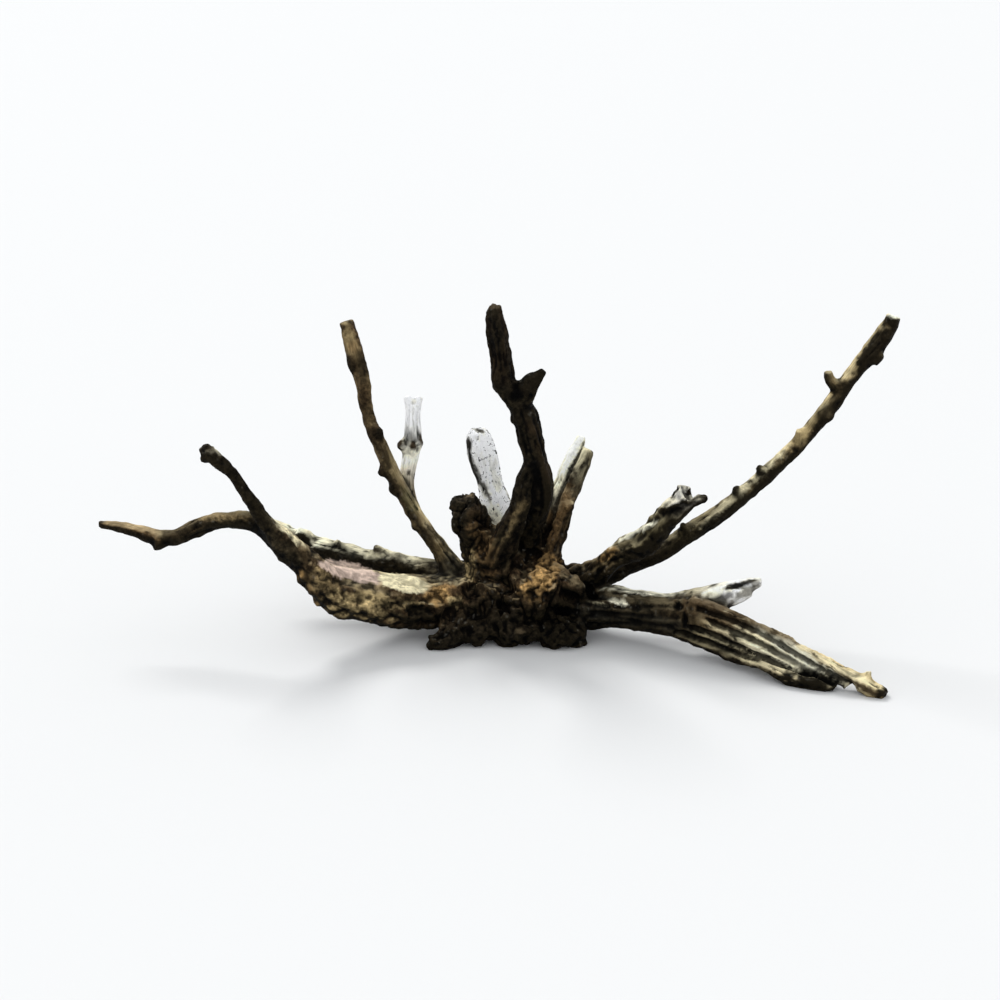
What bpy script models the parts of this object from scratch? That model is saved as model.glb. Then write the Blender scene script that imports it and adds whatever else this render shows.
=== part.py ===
# A piece of driftwood: a gnarled root crown on short feet, with weathered limbs spreading from it.
# It grew as one piece of wood, so it is one object.
#
# Each limb's route is read off a front view: across, down and depth behind the crown, then the limb's
# radius, all in units of 1/800 of the overall width. placed() turns a reading into metres.

import math

import bpy
import numpy as np
from mathutils import Vector, noise

OVERALL_WIDTH = 0.600  # from the tip of the left reach to the tip of the long right limb, metres
UNIT = OVERALL_WIDTH / 800  # one unit of the front view, 0.75 mm

VIEW_ACROSS = 500  # the front view's centre, in its units
VIEW_DOWN = 500
VIEW_DISTANCE = 1.6  # how far the view was taken from, metres
VIEW_TILT = math.radians(18)  # how far it looks down
VIEW_HEIGHT = 0.103  # height of the view's centre above the ground, metres

ROUTE_STEP = 0.003  # spacing of the points along a limb
FORM_VOXEL = 0.0022  # grid of the plain form
CARVED_VOXEL = 0.0021  # grid of the carved form
FILLET_PASSES = 4  # rounds off where limbs meet
FILLET_LOSS = 0.0007  # what that takes off a limb's radius
END_LOSS = 0.00105  # and off its end
TRIANGLES = 11600

BLEND = 0.004  # reach over which one limb's surface turns into the next one's
LUMP_SIZE = 0.017
LUMP_RADIUS = 0.018  # lumps stop growing with the limb past this radius
BARK_SIZE = 0.0085
BARK_MIDDLE = 0.50  # what the bark's own height is on average
BARK_SHARE = 0.35  # bark is no deeper than this share of the limb's radius
BARK_WARP = 0.55  # how far it is pushed out of its regular pattern
BARK_APART = (0.0, 31.7, 67.3)  # takes that push's three directions from different places of the noise
GROOVE_LENGTH = 0.060
GROOVE_RISE = 1.3  # how fast a groove's sides rise, and how far its floor lies under the skin
GROOVE_FLOOR = 0.35
LIMB_APART = 7.3  # keeps one limb's grain from repeating the next one's
DECIMALS = 8  # heights are rounded to these, so that every run gives the same ones
FLAT_ABOVE_GROUND = 0.0009  # what reaches below this is worn flat
FLAT_CATCH = 0.0001

# How the surface is worn: depth of the long grooves and of the lumps as a share of the radius,
# depth of the bark in metres, and how many grooves there are round the limb.
BRANCH = {"grooves": 0.14, "lumps": 0.16, "bark": 0.0008, "count": 1.4}
SPLIT = {"grooves": 0.34, "lumps": 0.10, "bark": 0.0010, "count": 1.7}
ROOT = {"grooves": 0.24, "lumps": 0.14, "bark": 0.0022, "count": 1.6}
TRUNK = {"grooves": 0.18, "lumps": 0.12, "bark": 0.0012, "count": 2.4}
BURL = {"grooves": 0.0, "lumps": 0.16, "bark": 0.0045, "count": 1.0}
TWIG = {"grooves": 0.06, "lumps": 0.12, "bark": 0.0005, "count": 1.0}

# Limbs whose names begin with one of these words are strands of one split limb, with the split's
# depth and width in metres.
BUNDLES = {"split_stub": (0.0045, 0.0040), "strand": (0.0058, 0.0040)}

LIMBS = {
    # The left limb runs low from the crown, turns up at an elbow and forks.
    "left_sweep": (ROOT, [
        (492, 594, 0, 27), (462, 598, -14, 25), (430, 602, -26, 26.6), (398, 603, -38, 26),
        (364, 598, -48, 22), (333, 591, -56, 20), (315, 573.5, -62, 17.2), (299, 555.5, -66, 13.2),
        (282, 541, -68, 12.5),
    ]),
    "left_sweep_back": (BRANCH, [
        (480, 590, 16, 20), (445, 591, 8, 19), (405, 588, -4, 19), (368, 581.5, -20, 17),
        (338, 575, -36, 14), (316, 567, -50, 10),
    ]),
    "left_sweep_middle": (BRANCH, [
        (470, 593, 4, 20), (437, 596.5, -9, 21.5), (401, 595.5, -21, 21.5), (366, 589.5, -34, 20),
        (336.5, 582.5, -46, 17), (322, 575, -52, 13),
    ]),
    "left_rise": (BRANCH, [
        (297, 556, -66, 13), (278, 537, -70, 11), (263, 518.5, -74, 8), (252.2, 503, -78, 6.8),
        (238.8, 482.5, -82, 6.6), (227, 468, -86, 7), (216.8, 461, -88, 7.6), (209, 454.5, -89, 9.6),
        (203, 452.5, -90, 9.2),
    ]),
    "left_rise_knuckle": (BURL, [(213, 450, -86, 7.6), (202, 456, -88, 8)]),
    "left_reach": (BRANCH, [
        (300, 562, -64, 12), (280, 544, -62, 10.5), (266, 531, -60, 9.6), (250, 521.6, -57, 9.6),
        (232, 520, -54, 9.4), (212, 522, -50, 9), (196, 528, -47, 9), (182, 535, -45, 8.3),
        (166, 537.5, -42, 8.4), (151, 535, -40, 8.2), (136, 530.7, -37, 6.9), (119, 526.7, -34, 5.8),
        (99, 523.8, -31, 4.2),
    ]),
    "left_reach_bump": (BRANCH, [(163, 536, -42, 7.5), (157, 543, -44, 8.4), (153.5, 547, -45, 8)]),

    # The straight limb behind it.
    "rear_left": (BRANCH, [
        (490, 578, 18, 20), (462, 573, 24, 14), (432, 569, 30, 10.4), (397, 563, 40, 9.8),
        (353, 555.5, 52, 10.2), (320, 545.3, 60, 9.2), (297, 536.6, 66, 8.2), (281, 527.5, 70, 6.4),
        (269, 521.5, 73, 4.6),
    ]),
    "rear_left_knuckle": (BURL, [(306, 539, 60, 7.2), (296, 531, 58, 6.6)]),

    # The tall thin limb on the left, and the pale twig-like fork behind it.
    "tall_left": (BRANCH, [
        (470, 590, 2, 24), (456, 573, 4, 15), (445, 557, 6, 11), (433, 540, 8, 9), (419, 520, 11, 8.2),
        (406.5, 500, 14, 7.8), (395.5, 480, 17, 8), (387, 461, 20, 7.8), (378, 440, 23, 7.2),
        (371, 425, 26, 7.2), (366, 408, 28, 6.8), (362.5, 382, 31, 8.4), (356.8, 359, 34, 9),
        (350.8, 338, 37, 8.7), (346, 321.5, 39, 7.4),
    ]),
    "pale_twin": (BRANCH, [
        (421, 522, 16, 7), (412, 505, 22, 6.8), (407.5, 487, 29, 7), (408, 470, 35, 7.8),
        (411, 455, 39, 8.4), (413, 438, 42, 8.6), (413, 418, 45, 8.4), (413, 402, 47, 8),
    ]),

    # The bark knob and the pale plank behind it, at the crown's upper left.
    "knob_neck": (BURL, [
        (498, 575, -6, 26), (484, 555, -12, 21), (474.5, 535, -16, 17), (468, 517, -18, 18),
    ]),
    "pale_plank_left": (BRANCH, [
        (512, 560, 14, 20), (499, 525, 34, 13), (489, 503, 40, 10), (484, 484, 46, 6.5),
        (477.5, 464, 50, 7.2), (473, 446, 53, 7.8), (474, 436, 55, 7.8), (477, 430, 56, 4.6),
    ]),
    "pale_plank_middle": (BRANCH, [
        (515, 560, 12, 20), (503, 525, 31, 12.5), (495, 503, 37, 9.8), (488.5, 483, 43, 8.6),
        (483.5, 463, 47, 9), (480, 446, 50, 9.4), (478, 433, 52, 7),
    ]),
    "pale_plank_right": (BRANCH, [
        (518, 560, 18, 20), (509, 525, 36, 14), (501, 503, 42, 10.8), (494, 482, 48, 8.6),
        (490.5, 462, 52, 9), (485.8, 446, 55, 9.2), (481.5, 435, 57, 8.6), (478.5, 429.5, 58, 5.4),
    ]),

    # The dark spire with its spur and the buttress at its foot.
    "spire_shaft": (SPLIT, [
        (520, 578, 10, 26), (526, 546, 4, 15), (532, 525, -10, 11.5), (538, 508, -26, 11.8),
        (541.5, 492, -35, 12.4), (540, 477, -38, 12.4), (536, 460, -41, 11.8), (531, 440, -43, 11.8),
        (526, 422, -46, 12.6), (521.5, 409, -48, 11.8), (512, 395, -50, 10.6), (503, 380, -52, 12.2),
        (501, 362, -55, 10.8), (499.5, 345, -57, 10.4), (496.8, 328, -60, 9.8), (495, 315, -62, 8.8),
        (495.3, 305, -64, 6),
    ]),
    "spire_elbow": (BRANCH, [(506, 386, -50, 9), (496, 384.5, -50, 9)]),
    "spire_spur": (BRANCH, [
        (519, 404, -48, 10), (524.5, 391.5, -52, 11.5), (529.5, 383, -56, 10.5), (535, 378, -60, 8.8),
        (539.5, 374, -63, 6.6),
    ]),
    "spire_buttress": (SPLIT, [
        (494, 566, -18, 18), (500, 551, -28, 16.5), (507, 536, -36, 14.6), (515, 520, -42, 12.2),
        (521, 503, -45, 10.8), (524, 484, -46, 10), (531.5, 463, -44, 7.6),
    ]),

    # The stub split in two, right of the spire.
    "split_stub_left": (SPLIT, [
        (538, 570, 2, 20), (546, 540, 8, 12.5), (552, 515, 14, 10.2), (559, 493, 20, 9),
        (566.5, 473.5, 25, 8.6), (572.8, 456.5, 29, 7.3), (577.8, 446, 32, 6.3), (581.5, 436.5, 34, 4.8),
    ]),
    "split_stub_right": (SPLIT, [
        (544, 575, -2, 19), (552, 545, 2, 12), (560, 520, 7, 9.4), (566.5, 502, 12, 9.2),
        (573.3, 486, 16, 9.4), (579.8, 471, 20, 8.8), (585.5, 460, 23, 7.6), (588.5, 450.5, 25, 6),
    ]),

    # The front feet's pointed toes, and the short spur at the crown's right.
    "toe_left": (ROOT, [
        (462, 628, -42, 15), (449, 639.5, -54, 10.8), (438, 643, -59, 9.6), (429, 642.5, -60, 7),
    ]),
    "toe_left_second": (ROOT, [(476, 624, -42, 14), (475, 636, -52, 10), (474, 644, -58, 6.6)]),
    "toe_middle": (ROOT, [(504, 622, -40, 18), (509, 636, -52, 13), (512, 643, -58, 8)]),
    "toe_right": (ROOT, [(566, 624, -42, 17), (554, 638, -55, 12), (548, 644.5, -61, 7.6)]),
    "toe_right_second": (ROOT, [(566, 624, -38, 17), (577, 636, -50, 12), (585, 638, -53, 9.4)]),
    "crown_spur": (ROOT, [
        (550, 570, -20, 12), (565, 580, -31, 9), (577, 587.5, -37, 6.8), (585, 591.5, -41, 4),
    ]),

    # The stout stub on the right, with a burl and a thorn at its end.
    "right_stub": (ROOT, [
        (556, 592, -2, 22), (579, 580, -10, 15.5), (600, 569.5, -18, 13.3), (616, 557, -25, 13.6),
        (633, 547.5, -31, 14.2), (648, 538, -36, 14.4), (660, 526, -40, 13.6), (670, 513, -43, 13),
        (678.5, 501, -46, 11), (684.5, 494, -48, 9),
    ]),
    "right_stub_burl": (BURL, [(680, 495, -46, 10.6), (685.5, 493, -48, 10.8)]),
    "right_thorn": (BRANCH, [
        (664, 524, -42, 11), (680, 511, -48, 8.5), (691, 504, -52, 6.2), (700, 499, -55, 4.8),
        (707, 498, -57, 3),
    ]),

    # The long curved limb on the right.
    "long_right": (BRANCH, [
        (566, 597, 2, 22), (600, 578, 8, 12), (626, 566.5, 11, 9.6), (651, 556.5, 14, 9.8),
        (675.5, 542.3, 17, 10), (699, 526.5, 20, 9.4), (721, 511.3, 22, 9), (745, 493.4, 25, 9),
        (770.5, 470.5, 27, 8.6), (800.5, 441.5, 30, 8.3), (826, 411, 33, 8.9), (844.7, 385, 36, 8.5),
        (865.7, 357.5, 39, 9.7), (882.3, 337.5, 41, 9.9), (890.5, 324, 43, 9.3), (893.5, 315.5, 43, 8),
    ]),

    # The broad root on the lower right: a trunk that splits into strands of different lengths.
    "root_trunk": (TRUNK, [
        (560, 604, -4, 24), (600, 607, -26, 21.6), (640, 610.5, -48, 20.6), (672, 613, -64, 19.6),
        (700, 616, -78, 16.5), (726, 624, -94, 12), (750, 634, -108, 7),
    ]),
    "strand_rail": (SPLIT, [
        (690, 603, -78, 8), (732, 616.5, -100, 7.6), (760, 629, -116, 7), (782, 640, -128, 6.8),
        (806, 653.5, -142, 6.8), (830, 666, -155, 7.4), (852, 678.5, -166, 8.6),
        (872, 689, -175, 8.6), (885, 694.5, -181, 7.2),
    ]),
    "strand_second": (SPLIT, [
        (700, 612, -84, 8), (732, 625, -104, 7.6), (757, 636, -119, 7.2), (782, 651, -133, 6.8),
        (806, 666, -146, 6.6), (828, 677.5, -158, 6.4), (845, 686, -166, 6.2),
    ]),
    "strand_third": (SPLIT, [
        (690, 618, -82, 9), (714, 627, -98, 8), (738, 638, -112, 7.2), (762, 649, -126, 6.8),
        (784, 660, -137, 6.2), (802, 668, -146, 5.4), (816, 673, -152, 3.4),
    ]),
    "strand_fourth": (SPLIT, [
        (680, 624, -76, 9), (706, 635, -94, 8), (728, 646, -108, 7.6), (752, 658, -122, 7.4),
        (773, 669, -134, 7), (792, 678, -144, 6), (813, 682, -152, 3.8),
    ]),
    "strand_rim": (SPLIT, [
        (650, 622, -60, 10), (690, 636, -82, 8.2), (720, 647.5, -102, 8), (746, 658.5, -120, 8.2),
        (768, 667.5, -136, 8), (790, 677.5, -151, 8), (812, 683, -162, 6.6), (836, 687.5, -168, 4.2),
    ]),
    "strand_back": (SPLIT, [
        (690, 618, -60, 12), (730, 636, -82, 12), (765, 654, -104, 11), (795, 669, -124, 8),
        (818, 679, -142, 5),
    ]),
    "root_web": (ROOT, [
        (690, 614, -58, 12), (730, 631, -80, 11), (765, 645, -101, 11), (795, 658, -122, 10.5),
        (818, 669, -139, 8), (830, 674, -148, 6),
    ]),
    "root_prong": (SPLIT, [
        (668, 604, -54, 10), (698, 598, -66, 10.6), (722, 592, -72, 9.8), (742, 586.5, -78, 8),
        (756, 583, -82, 6), (761.5, 582, -83, 4.6),
    ]),
    "root_prong_low": (SPLIT, [
        (690, 608, -66, 10), (718, 603, -76, 7.6), (737, 598.5, -82, 6), (751, 593, -86, 4),
    ]),
    "root_prong_middle": (SPLIT, [
        (684, 606, -60, 11), (716, 598.5, -72, 8.6), (737, 592.5, -78, 7), (750, 588, -82, 5),
    ]),
}

# Pits and rotted hollows in the front: middle, then half widths across and down, and depth.
HOLLOWS = {
    "sweep_side": ((420, 611), (18, 8), 6),
    "crown_left": ((471, 593), (11, 10), 8),
    "crown_middle": ((511, 589), (8, 10), 7),
    "under_brow": ((563, 615), (20, 11), 11),
    "right_cleft": ((589, 592), (9, 7), 8),
    "trunk_eye": ((678, 605), (6, 6.5), 5),
    "trunk_crack": ((684, 619), (3.4, 12), 4),
    "prong_cleft": ((741, 590), (15, 3.6), 4.5),
    "root_gap": ((808, 672), (12, 4.5), 6),
}
HOLLOW_FACING = 0.35  # they reach their full depth where the skin faces the front at least this much

# Twig stubs and knots: the limb that they stand on gives them their wear.
TWIGS = {
    "stub_on_long_right": [(838.5, 389, 34, 7), (830, 380, 32, 5.4), (828, 371.5, 31, 4.6)],
    "knot_long_right_a": [(800, 440, 27, 6), (799, 430, 24, 4.2)],
    "knot_long_right_b": [(764, 475, 25, 6), (759, 467.5, 20, 4)],
    "knot_long_right_c": [(740, 497, 22, 6), (736, 487, 18, 3.6)],
    "knot_long_right_d": [(688, 534, 16, 6), (682.5, 524, 10, 3)],
    "knot_long_right_e": [(872, 362, 36, 7), (881, 354, 34, 4.6)],
    "knot_long_right_f": [(826, 414, 30, 7), (832, 419, 26, 4.4)],
    "knot_long_right_g": [(806, 436, 34, 6), (812, 431, 44, 3.4)],
    "twig_rear_left_a": [(339, 549, 52, 4), (337.5, 540.5, 50, 2.8)],
    "twig_rear_left_b": [(378, 555, 44, 5), (377.5, 545.5, 42, 3.4)],
    "twig_rear_left_c": [(386, 556, 42, 4), (386, 549, 41, 2.2)],
    "bump_rear_left": [(392, 558, 38, 7), (402, 558, 36, 6)],
    "collar_tall_left": [(375, 433, 22, 6.4), (382, 432, 19, 3.6)],
    "knot_tall_left_a": [(384, 474, 16, 5), (379, 471, 14, 3.4)],
    "knot_tall_left_b": [(418, 526, 10, 6), (412, 526, 8, 3.4)],
    "knot_tall_left_c": [(353, 366, 30, 6), (349.5, 363, 28, 3)],
    "knot_tall_left_d": [(394, 490, 14, 5), (389.5, 489, 12, 3)],
    "twig_pale_twin_a": [(409, 450, 38, 5.4), (399, 443.5, 35, 4.8)],
    "twig_pale_twin_b": [(415, 452, 38, 5), (422, 441, 40, 3)],
    "twig_pale_twin_c": [(412, 452, 36, 5.4), (413.5, 444, 31, 4)],
    "horn_pale_twin_a": [(410, 406, 47, 4.6), (408, 398, 47, 3.4)],
    "horn_pale_twin_b": [(417, 406, 47, 4.6), (419.5, 398.5, 48, 3.2)],
    "knot_left_rise": [(255, 505, -76, 6), (260, 502, -77, 3)],
    "knot_left_reach": [(186, 535, -46, 6), (184, 541, -48, 3)],
    "nub_root_tip": [(862, 681, -168, 6), (868, 674, -168, 4), (871, 671.5, -168, 2.4)],
    "bark_spur_split_stub": [(568, 508, 4, 7), (574, 505, 2, 2.6)],
    "knot_spire": [(517, 418, -46, 8), (511, 417, -46, 5)],
}

# Lumps of the crown and its feet: middle, then radii across, in depth and up.
LUMPS = {
    "crown_left": ((492, 588, 0), (38, 40, 33)),
    "crown_middle": ((532, 592, -4), (44, 46, 38)),
    "crown_right": ((566, 604, -2), (31, 40, 30)),
    "saddle": ((490, 538, -21), (16, 14, 15)),
    "crown_back": ((528, 585, 34), (44, 30, 34)),
    "crown_upper": ((503, 566, -6), (28, 26, 21)),
    "crown_upper_right": ((547, 563, 2), (19, 22, 19)),
    "brow": ((541, 586, -38), (20, 12, 18)),
    "cheek": ((478, 600, -30), (22, 18, 17)),
    "chin": ((536, 601, -40), (18, 13, 14)),
    "throat": ((518, 618, -30), (26, 20, 18)),
    "knob": ((466, 510.5, -18), (22.5, 19, 22.5)),
    "knob_cap": ((462, 518, -24), (12, 11, 14)),
    "elbow": ((420, 606, -32), (19, 18, 20)),
    "foot_front_left": ((453, 627, -46), (15, 16, 12)),
    "shin_left": ((460, 620, -34), (19, 20, 16)),
    "foot_middle_left": ((484, 629, -44), (16, 14, 11)),
    "shin_middle": ((494, 622, -36), (18, 18, 18)),
    "foot_middle": ((523, 632.5, -48), (18, 16, 12)),
    "foot_right": ((564, 632, -47), (25, 20, 15.5)),
    "foot_back_left": ((484, 603, 44), (20, 20, 17)),
    "foot_back_right": ((560, 602, 46), (21, 20, 17)),
}


def placed(across, down, depth):
    """Where a reading of the front view lies, in metres, and how much larger it is there than it looks."""
    away = depth * UNIT
    rise = (VIEW_DOWN - down) * UNIT
    cosine, sine = math.cos(VIEW_TILT), math.sin(VIEW_TILT)
    height = (rise * VIEW_DISTANCE + away * (rise * cosine - VIEW_DISTANCE * sine)) / (
        VIEW_DISTANCE * cosine + rise * sine
    )
    larger = (VIEW_DISTANCE + away * cosine - height * sine) / VIEW_DISTANCE
    return Vector(((across - VIEW_ACROSS) * UNIT * larger, away, height + VIEW_HEIGHT)), larger


def smooth_line(readings):
    """Rows of x, y, z and radius in metres along a smooth curve through the readings."""
    rows = []
    for across, down, depth, radius in readings:
        place, larger = placed(across, down, depth)
        rows.append((*place, radius * UNIT * larger + FILLET_LOSS))
    rows = np.array(rows)
    last = rows[-1, :3] - rows[-2, :3]
    rows[-1, :3] += last / np.linalg.norm(last) * END_LOSS
    spans = np.linalg.norm(np.diff(rows[:, :3], axis=0), axis=1)
    reached = np.concatenate([[0.0], np.cumsum(spans)])
    slopes = np.gradient(rows, reached, axis=0)
    along = np.linspace(0, reached[-1], max(3, round(reached[-1] / ROUTE_STEP) + 1))
    piece = np.clip(np.searchsorted(reached, along, side="right") - 1, 0, len(spans) - 1)
    width = spans[piece][:, None]
    t = (along - reached[piece])[:, None] / width
    return (
        rows[piece] * (2 * t**3 - 3 * t**2 + 1)
        + slopes[piece] * width * (t**3 - 2 * t**2 + t)
        + rows[piece + 1] * (3 * t**2 - 2 * t**3)
        + slopes[piece + 1] * width * (t**3 - t**2)
    )


class Limb:
    """A limb's centre line with what is needed to say where a point lies along and round it."""

    def __init__(self, name, wear, rows):
        self.name = name
        self.wear = wear
        self.centres = rows[:, :3]
        self.radii = rows[:, 3]
        self.tangents = np.gradient(self.centres, axis=0)
        self.tangents /= np.linalg.norm(self.tangents, axis=1)[:, None]
        spans = np.linalg.norm(np.diff(self.centres, axis=0), axis=1)
        self.along = np.concatenate([[0.0], np.cumsum(spans)])
        side = np.array((0.0, 1.0, 0.0)) if abs(self.tangents[0][1]) < 0.8 else np.array((1.0, 0.0, 0.0))
        self.sides = np.empty_like(self.centres)
        for i, tangent in enumerate(self.tangents):
            side = side - tangent * (side @ tangent)
            side /= np.linalg.norm(side)
            self.sides[i] = side
        self.rounds = np.cross(self.tangents, self.sides)


def bundle_of(name):
    """The number of the bundle that a strand belongs to, from 1, or 0."""
    return next((number for number, start in enumerate(BUNDLES, 1) if name.startswith(start)), 0)


def add_tube(name, rows):
    """A limb's plain form: a curve with the limb's radius at every point."""
    data = bpy.data.curves.new(name, "CURVE")
    data.dimensions = "3D"
    data.bevel_depth = 1.0
    data.bevel_resolution = 5
    data.use_fill_caps = True
    spline = data.splines.new("POLY")
    spline.points.add(len(rows) - 1)
    for point, row in zip(spline.points, rows):
        point.co = (*row[:3], 1.0)
        point.radius = row[3]
    tube = bpy.data.objects.new(name, data)
    bpy.context.collection.objects.link(tube)
    return tube


def add_lump(name, middle, radii):
    """An egg-shaped lump of the crown."""
    place, larger = placed(*middle)
    bpy.ops.mesh.primitive_ico_sphere_add(subdivisions=4, radius=1.0, location=place)
    lump = bpy.context.object
    lump.name = name
    lump.scale = [radius * UNIT * larger for radius in radii]
    return lump, place, min(radii) * UNIT * larger


def apply_modifier(obj, kind, **settings):
    """Adds a modifier with these settings and applies it."""
    bpy.context.view_layer.objects.active = obj
    modifier = obj.modifiers.new(kind.title(), kind)
    for key, value in settings.items():
        setattr(modifier, key, value)
    bpy.ops.object.modifier_apply(modifier=modifier.name)


def plain_form():
    """Every limb, twig and lump as one plain skin, with the limbs that shaped it."""
    limbs, objects = [], []
    for name, (wear, readings) in LIMBS.items():
        rows = smooth_line(readings)
        objects.append(add_tube(name, rows))
        limbs.append(Limb(name, wear, rows))
    for name, readings in TWIGS.items():
        rows = smooth_line(readings)
        objects.append(add_tube(name, rows))
        limbs.append(Limb(name, TWIG, rows))
    for name, (middle, radii) in LUMPS.items():
        lump, place, radius = add_lump(name, middle, radii)
        objects.append(lump)
        rows = np.array([(*place, radius), (*(place + Vector((0, 0, ROUTE_STEP))), radius)])
        limbs.append(Limb(name, BURL, rows))
    bpy.ops.object.select_all(action="DESELECT")
    for obj in objects:
        obj.select_set(True)
    bpy.context.view_layer.objects.active = objects[0]
    bpy.ops.object.convert(target="MESH")
    bpy.ops.object.join()
    form = bpy.context.object
    bpy.ops.object.transform_apply(location=True, rotation=True, scale=True)
    apply_modifier(form, "REMESH", mode="VOXEL", voxel_size=FORM_VOXEL)
    apply_modifier(form, "SMOOTH", factor=0.5, iterations=FILLET_PASSES)
    return form, limbs


def points_of(obj):
    """The object's points, a row for each."""
    points = np.empty(len(obj.data.vertices) * 3)
    obj.data.vertices.foreach_get("co", points)
    return points.reshape(-1, 3)


def move_points(obj, points):
    obj.data.vertices.foreach_set("co", points.ravel())
    obj.data.update()


def survey(points, limbs):
    """For each point: its gap to each limb, then the place along and round the nearest, and that radius."""
    gaps = np.full((len(points), len(limbs)), 1.0)
    along, turn, radius = np.zeros((3, len(points)))
    best = np.full(len(points), np.inf)
    for index, limb in enumerate(limbs):
        reach = limb.radii.max() + 6 * BLEND
        low, high = limb.centres.min(axis=0) - reach, limb.centres.max(axis=0) + reach
        near = np.flatnonzero(((points > low) & (points < high)).all(axis=1))
        if len(near) == 0:
            continue
        offsets = points[near][:, None, :] - limb.centres[None, :, :]
        distances = np.linalg.norm(offsets, axis=2) - limb.radii
        at = distances.argmin(axis=1)
        gap = distances[np.arange(len(near)), at]
        gaps[near, index] = gap
        wins = gap < best[near]
        rows, at = near[wins], at[wins]
        best[rows] = gap[wins]
        offset = points[rows] - limb.centres[at]
        along[rows] = limb.along[at] + (offset * limb.tangents[at]).sum(axis=1)
        aside, around = ((offset * axes[at]).sum(axis=1) for axes in (limb.sides, limb.rounds))
        turn[rows] = np.arctan2(around, aside)
        radius[rows] = limb.radii[at]
    return gaps, along, turn, radius


def noise_at(places):
    return np.array([noise.noise(place) for place in places.tolist()])


def bark_at(places):
    """Lumps of bark with creases between them, none like the next."""
    push = np.column_stack([noise_at(places / 2 + apart) for apart in BARK_APART])
    return np.array([noise.turbulence(place, 2, False) for place in (places + BARK_WARP * push).tolist()])


def hollows_at(points, normals):
    """How deep the front's pits and hollows are at each point."""
    cosine, sine = math.cos(VIEW_TILT), math.sin(VIEW_TILT)
    x, y, z = (points - (0, 0, VIEW_HEIGHT)).T
    larger = (VIEW_DISTANCE + y * cosine - z * sine) / VIEW_DISTANCE
    across = VIEW_ACROSS + x / larger / UNIT
    down = VIEW_DOWN - (y * sine + z * cosine) / larger / UNIT
    depth = np.zeros(len(points))
    for middle, halves, deep in HOLLOWS.values():
        reach = ((across - middle[0]) / halves[0]) ** 2 + ((down - middle[1]) / halves[1]) ** 2
        depth = np.maximum(depth, np.clip(1 - reach, 0, 1) * deep * UNIT)
    return depth * np.clip(-normals[:, 1] / HOLLOW_FACING, 0, 1)


def carve(obj, limbs):
    """Gives the skin its grooves, lumps, bark and hollows, and the splits between its strands."""
    points = points_of(obj)
    normals = np.empty(len(points) * 3)
    obj.data.vertices.foreach_get("normal", normals)
    normals = normals.reshape(-1, 3)
    gaps, along, turn, radius = survey(points, limbs)
    ranked = gaps.argsort(axis=1)[:, :2]
    nearest = ranked[:, 0]
    least = np.take_along_axis(gaps, ranked, axis=1)
    lead = least[:, 1] - least[:, 0]
    shares = np.exp(-(gaps - least[:, :1]) / BLEND)
    shares /= shares.sum(axis=1)[:, None]

    def mixed(key):
        return shares @ np.array([limb.wear[key] for limb in limbs])

    count = np.array([limb.wear["count"] for limb in limbs])[nearest]
    across_grain = np.stack([count * np.cos(turn), count * np.sin(turn)], axis=1)
    grain = np.column_stack([along / GROOVE_LENGTH + nearest * LIMB_APART, across_grain])
    grooves = GROOVE_RISE * np.abs(noise_at(grain)) - GROOVE_FLOOR
    bundles = np.array([bundle_of(limb.name) for limb in limbs])
    bundle = np.where(bundles[nearest] == bundles[ranked[:, 1]], bundles[nearest], 0)
    depth, width = np.array([(0.0, 1.0), *BUNDLES.values()])[bundle].T
    height = (
        grooves * mixed("grooves") * radius * np.clip(lead / BLEND, 0, 1)
        + noise_at(points / LUMP_SIZE) * mixed("lumps") * np.minimum(radius, LUMP_RADIUS)
        + (bark_at(points / BARK_SIZE) - BARK_MIDDLE) * np.minimum(mixed("bark"), BARK_SHARE * radius)
        - np.clip(1 - lead / width, 0, 1) * depth
        - hollows_at(points, normals)
    )
    move_points(obj, points + normals * height.round(DECIMALS)[:, None])


def wear_feet_flat(obj):
    """Whatever reaches the ground ends on it, in flat spots."""
    points = points_of(obj)
    points[points[:, 2] < FLAT_ABOVE_GROUND + FLAT_CATCH, 2] = FLAT_ABOVE_GROUND
    move_points(obj, points)


def stand_on_origin(obj):
    """Puts the middle of the base of its box on the origin, and tells how far that moved it."""
    points = points_of(obj)
    middle = (points.min(axis=0) + points.max(axis=0)) / 2
    middle[2] = points[:, 2].min()
    move_points(obj, points - middle)
    print("moved by", *(-middle).round(6).tolist())


def wood_material():
    """Dry brown wood."""
    material = bpy.data.materials.new("weathered_wood")
    material.use_nodes = True
    shader = material.node_tree.nodes["Principled BSDF"]
    shader.inputs["Base Color"].default_value = (0.13, 0.085, 0.05, 1)
    shader.inputs["Roughness"].default_value = 0.85
    shader.inputs["Metallic"].default_value = 0.0
    return material


def build():
    """Clears the scene and makes the driftwood."""
    for obj in list(bpy.data.objects):
        bpy.data.objects.remove(obj)
    collection = bpy.data.collections.new("driftwood")
    bpy.context.scene.collection.children.link(collection)
    layer = bpy.context.view_layer
    layer.active_layer_collection = layer.layer_collection.children["driftwood"]
    wood, limbs = plain_form()
    wood.name = "driftwood"
    carve(wood, limbs)
    apply_modifier(wood, "REMESH", mode="VOXEL", voxel_size=CARVED_VOXEL)
    wear_feet_flat(wood)
    apply_modifier(wood, "DECIMATE", ratio=TRIANGLES / (2 * len(wood.data.polygons)))
    wear_feet_flat(wood)
    stand_on_origin(wood)
    wood.data.materials.clear()
    wood.data.materials.append(wood_material())
    wood.data.polygons.foreach_set("use_smooth", [True] * len(wood.data.polygons))


build()
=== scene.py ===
import math

import bpy
import numpy as np
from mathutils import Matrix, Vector, noise


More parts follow.
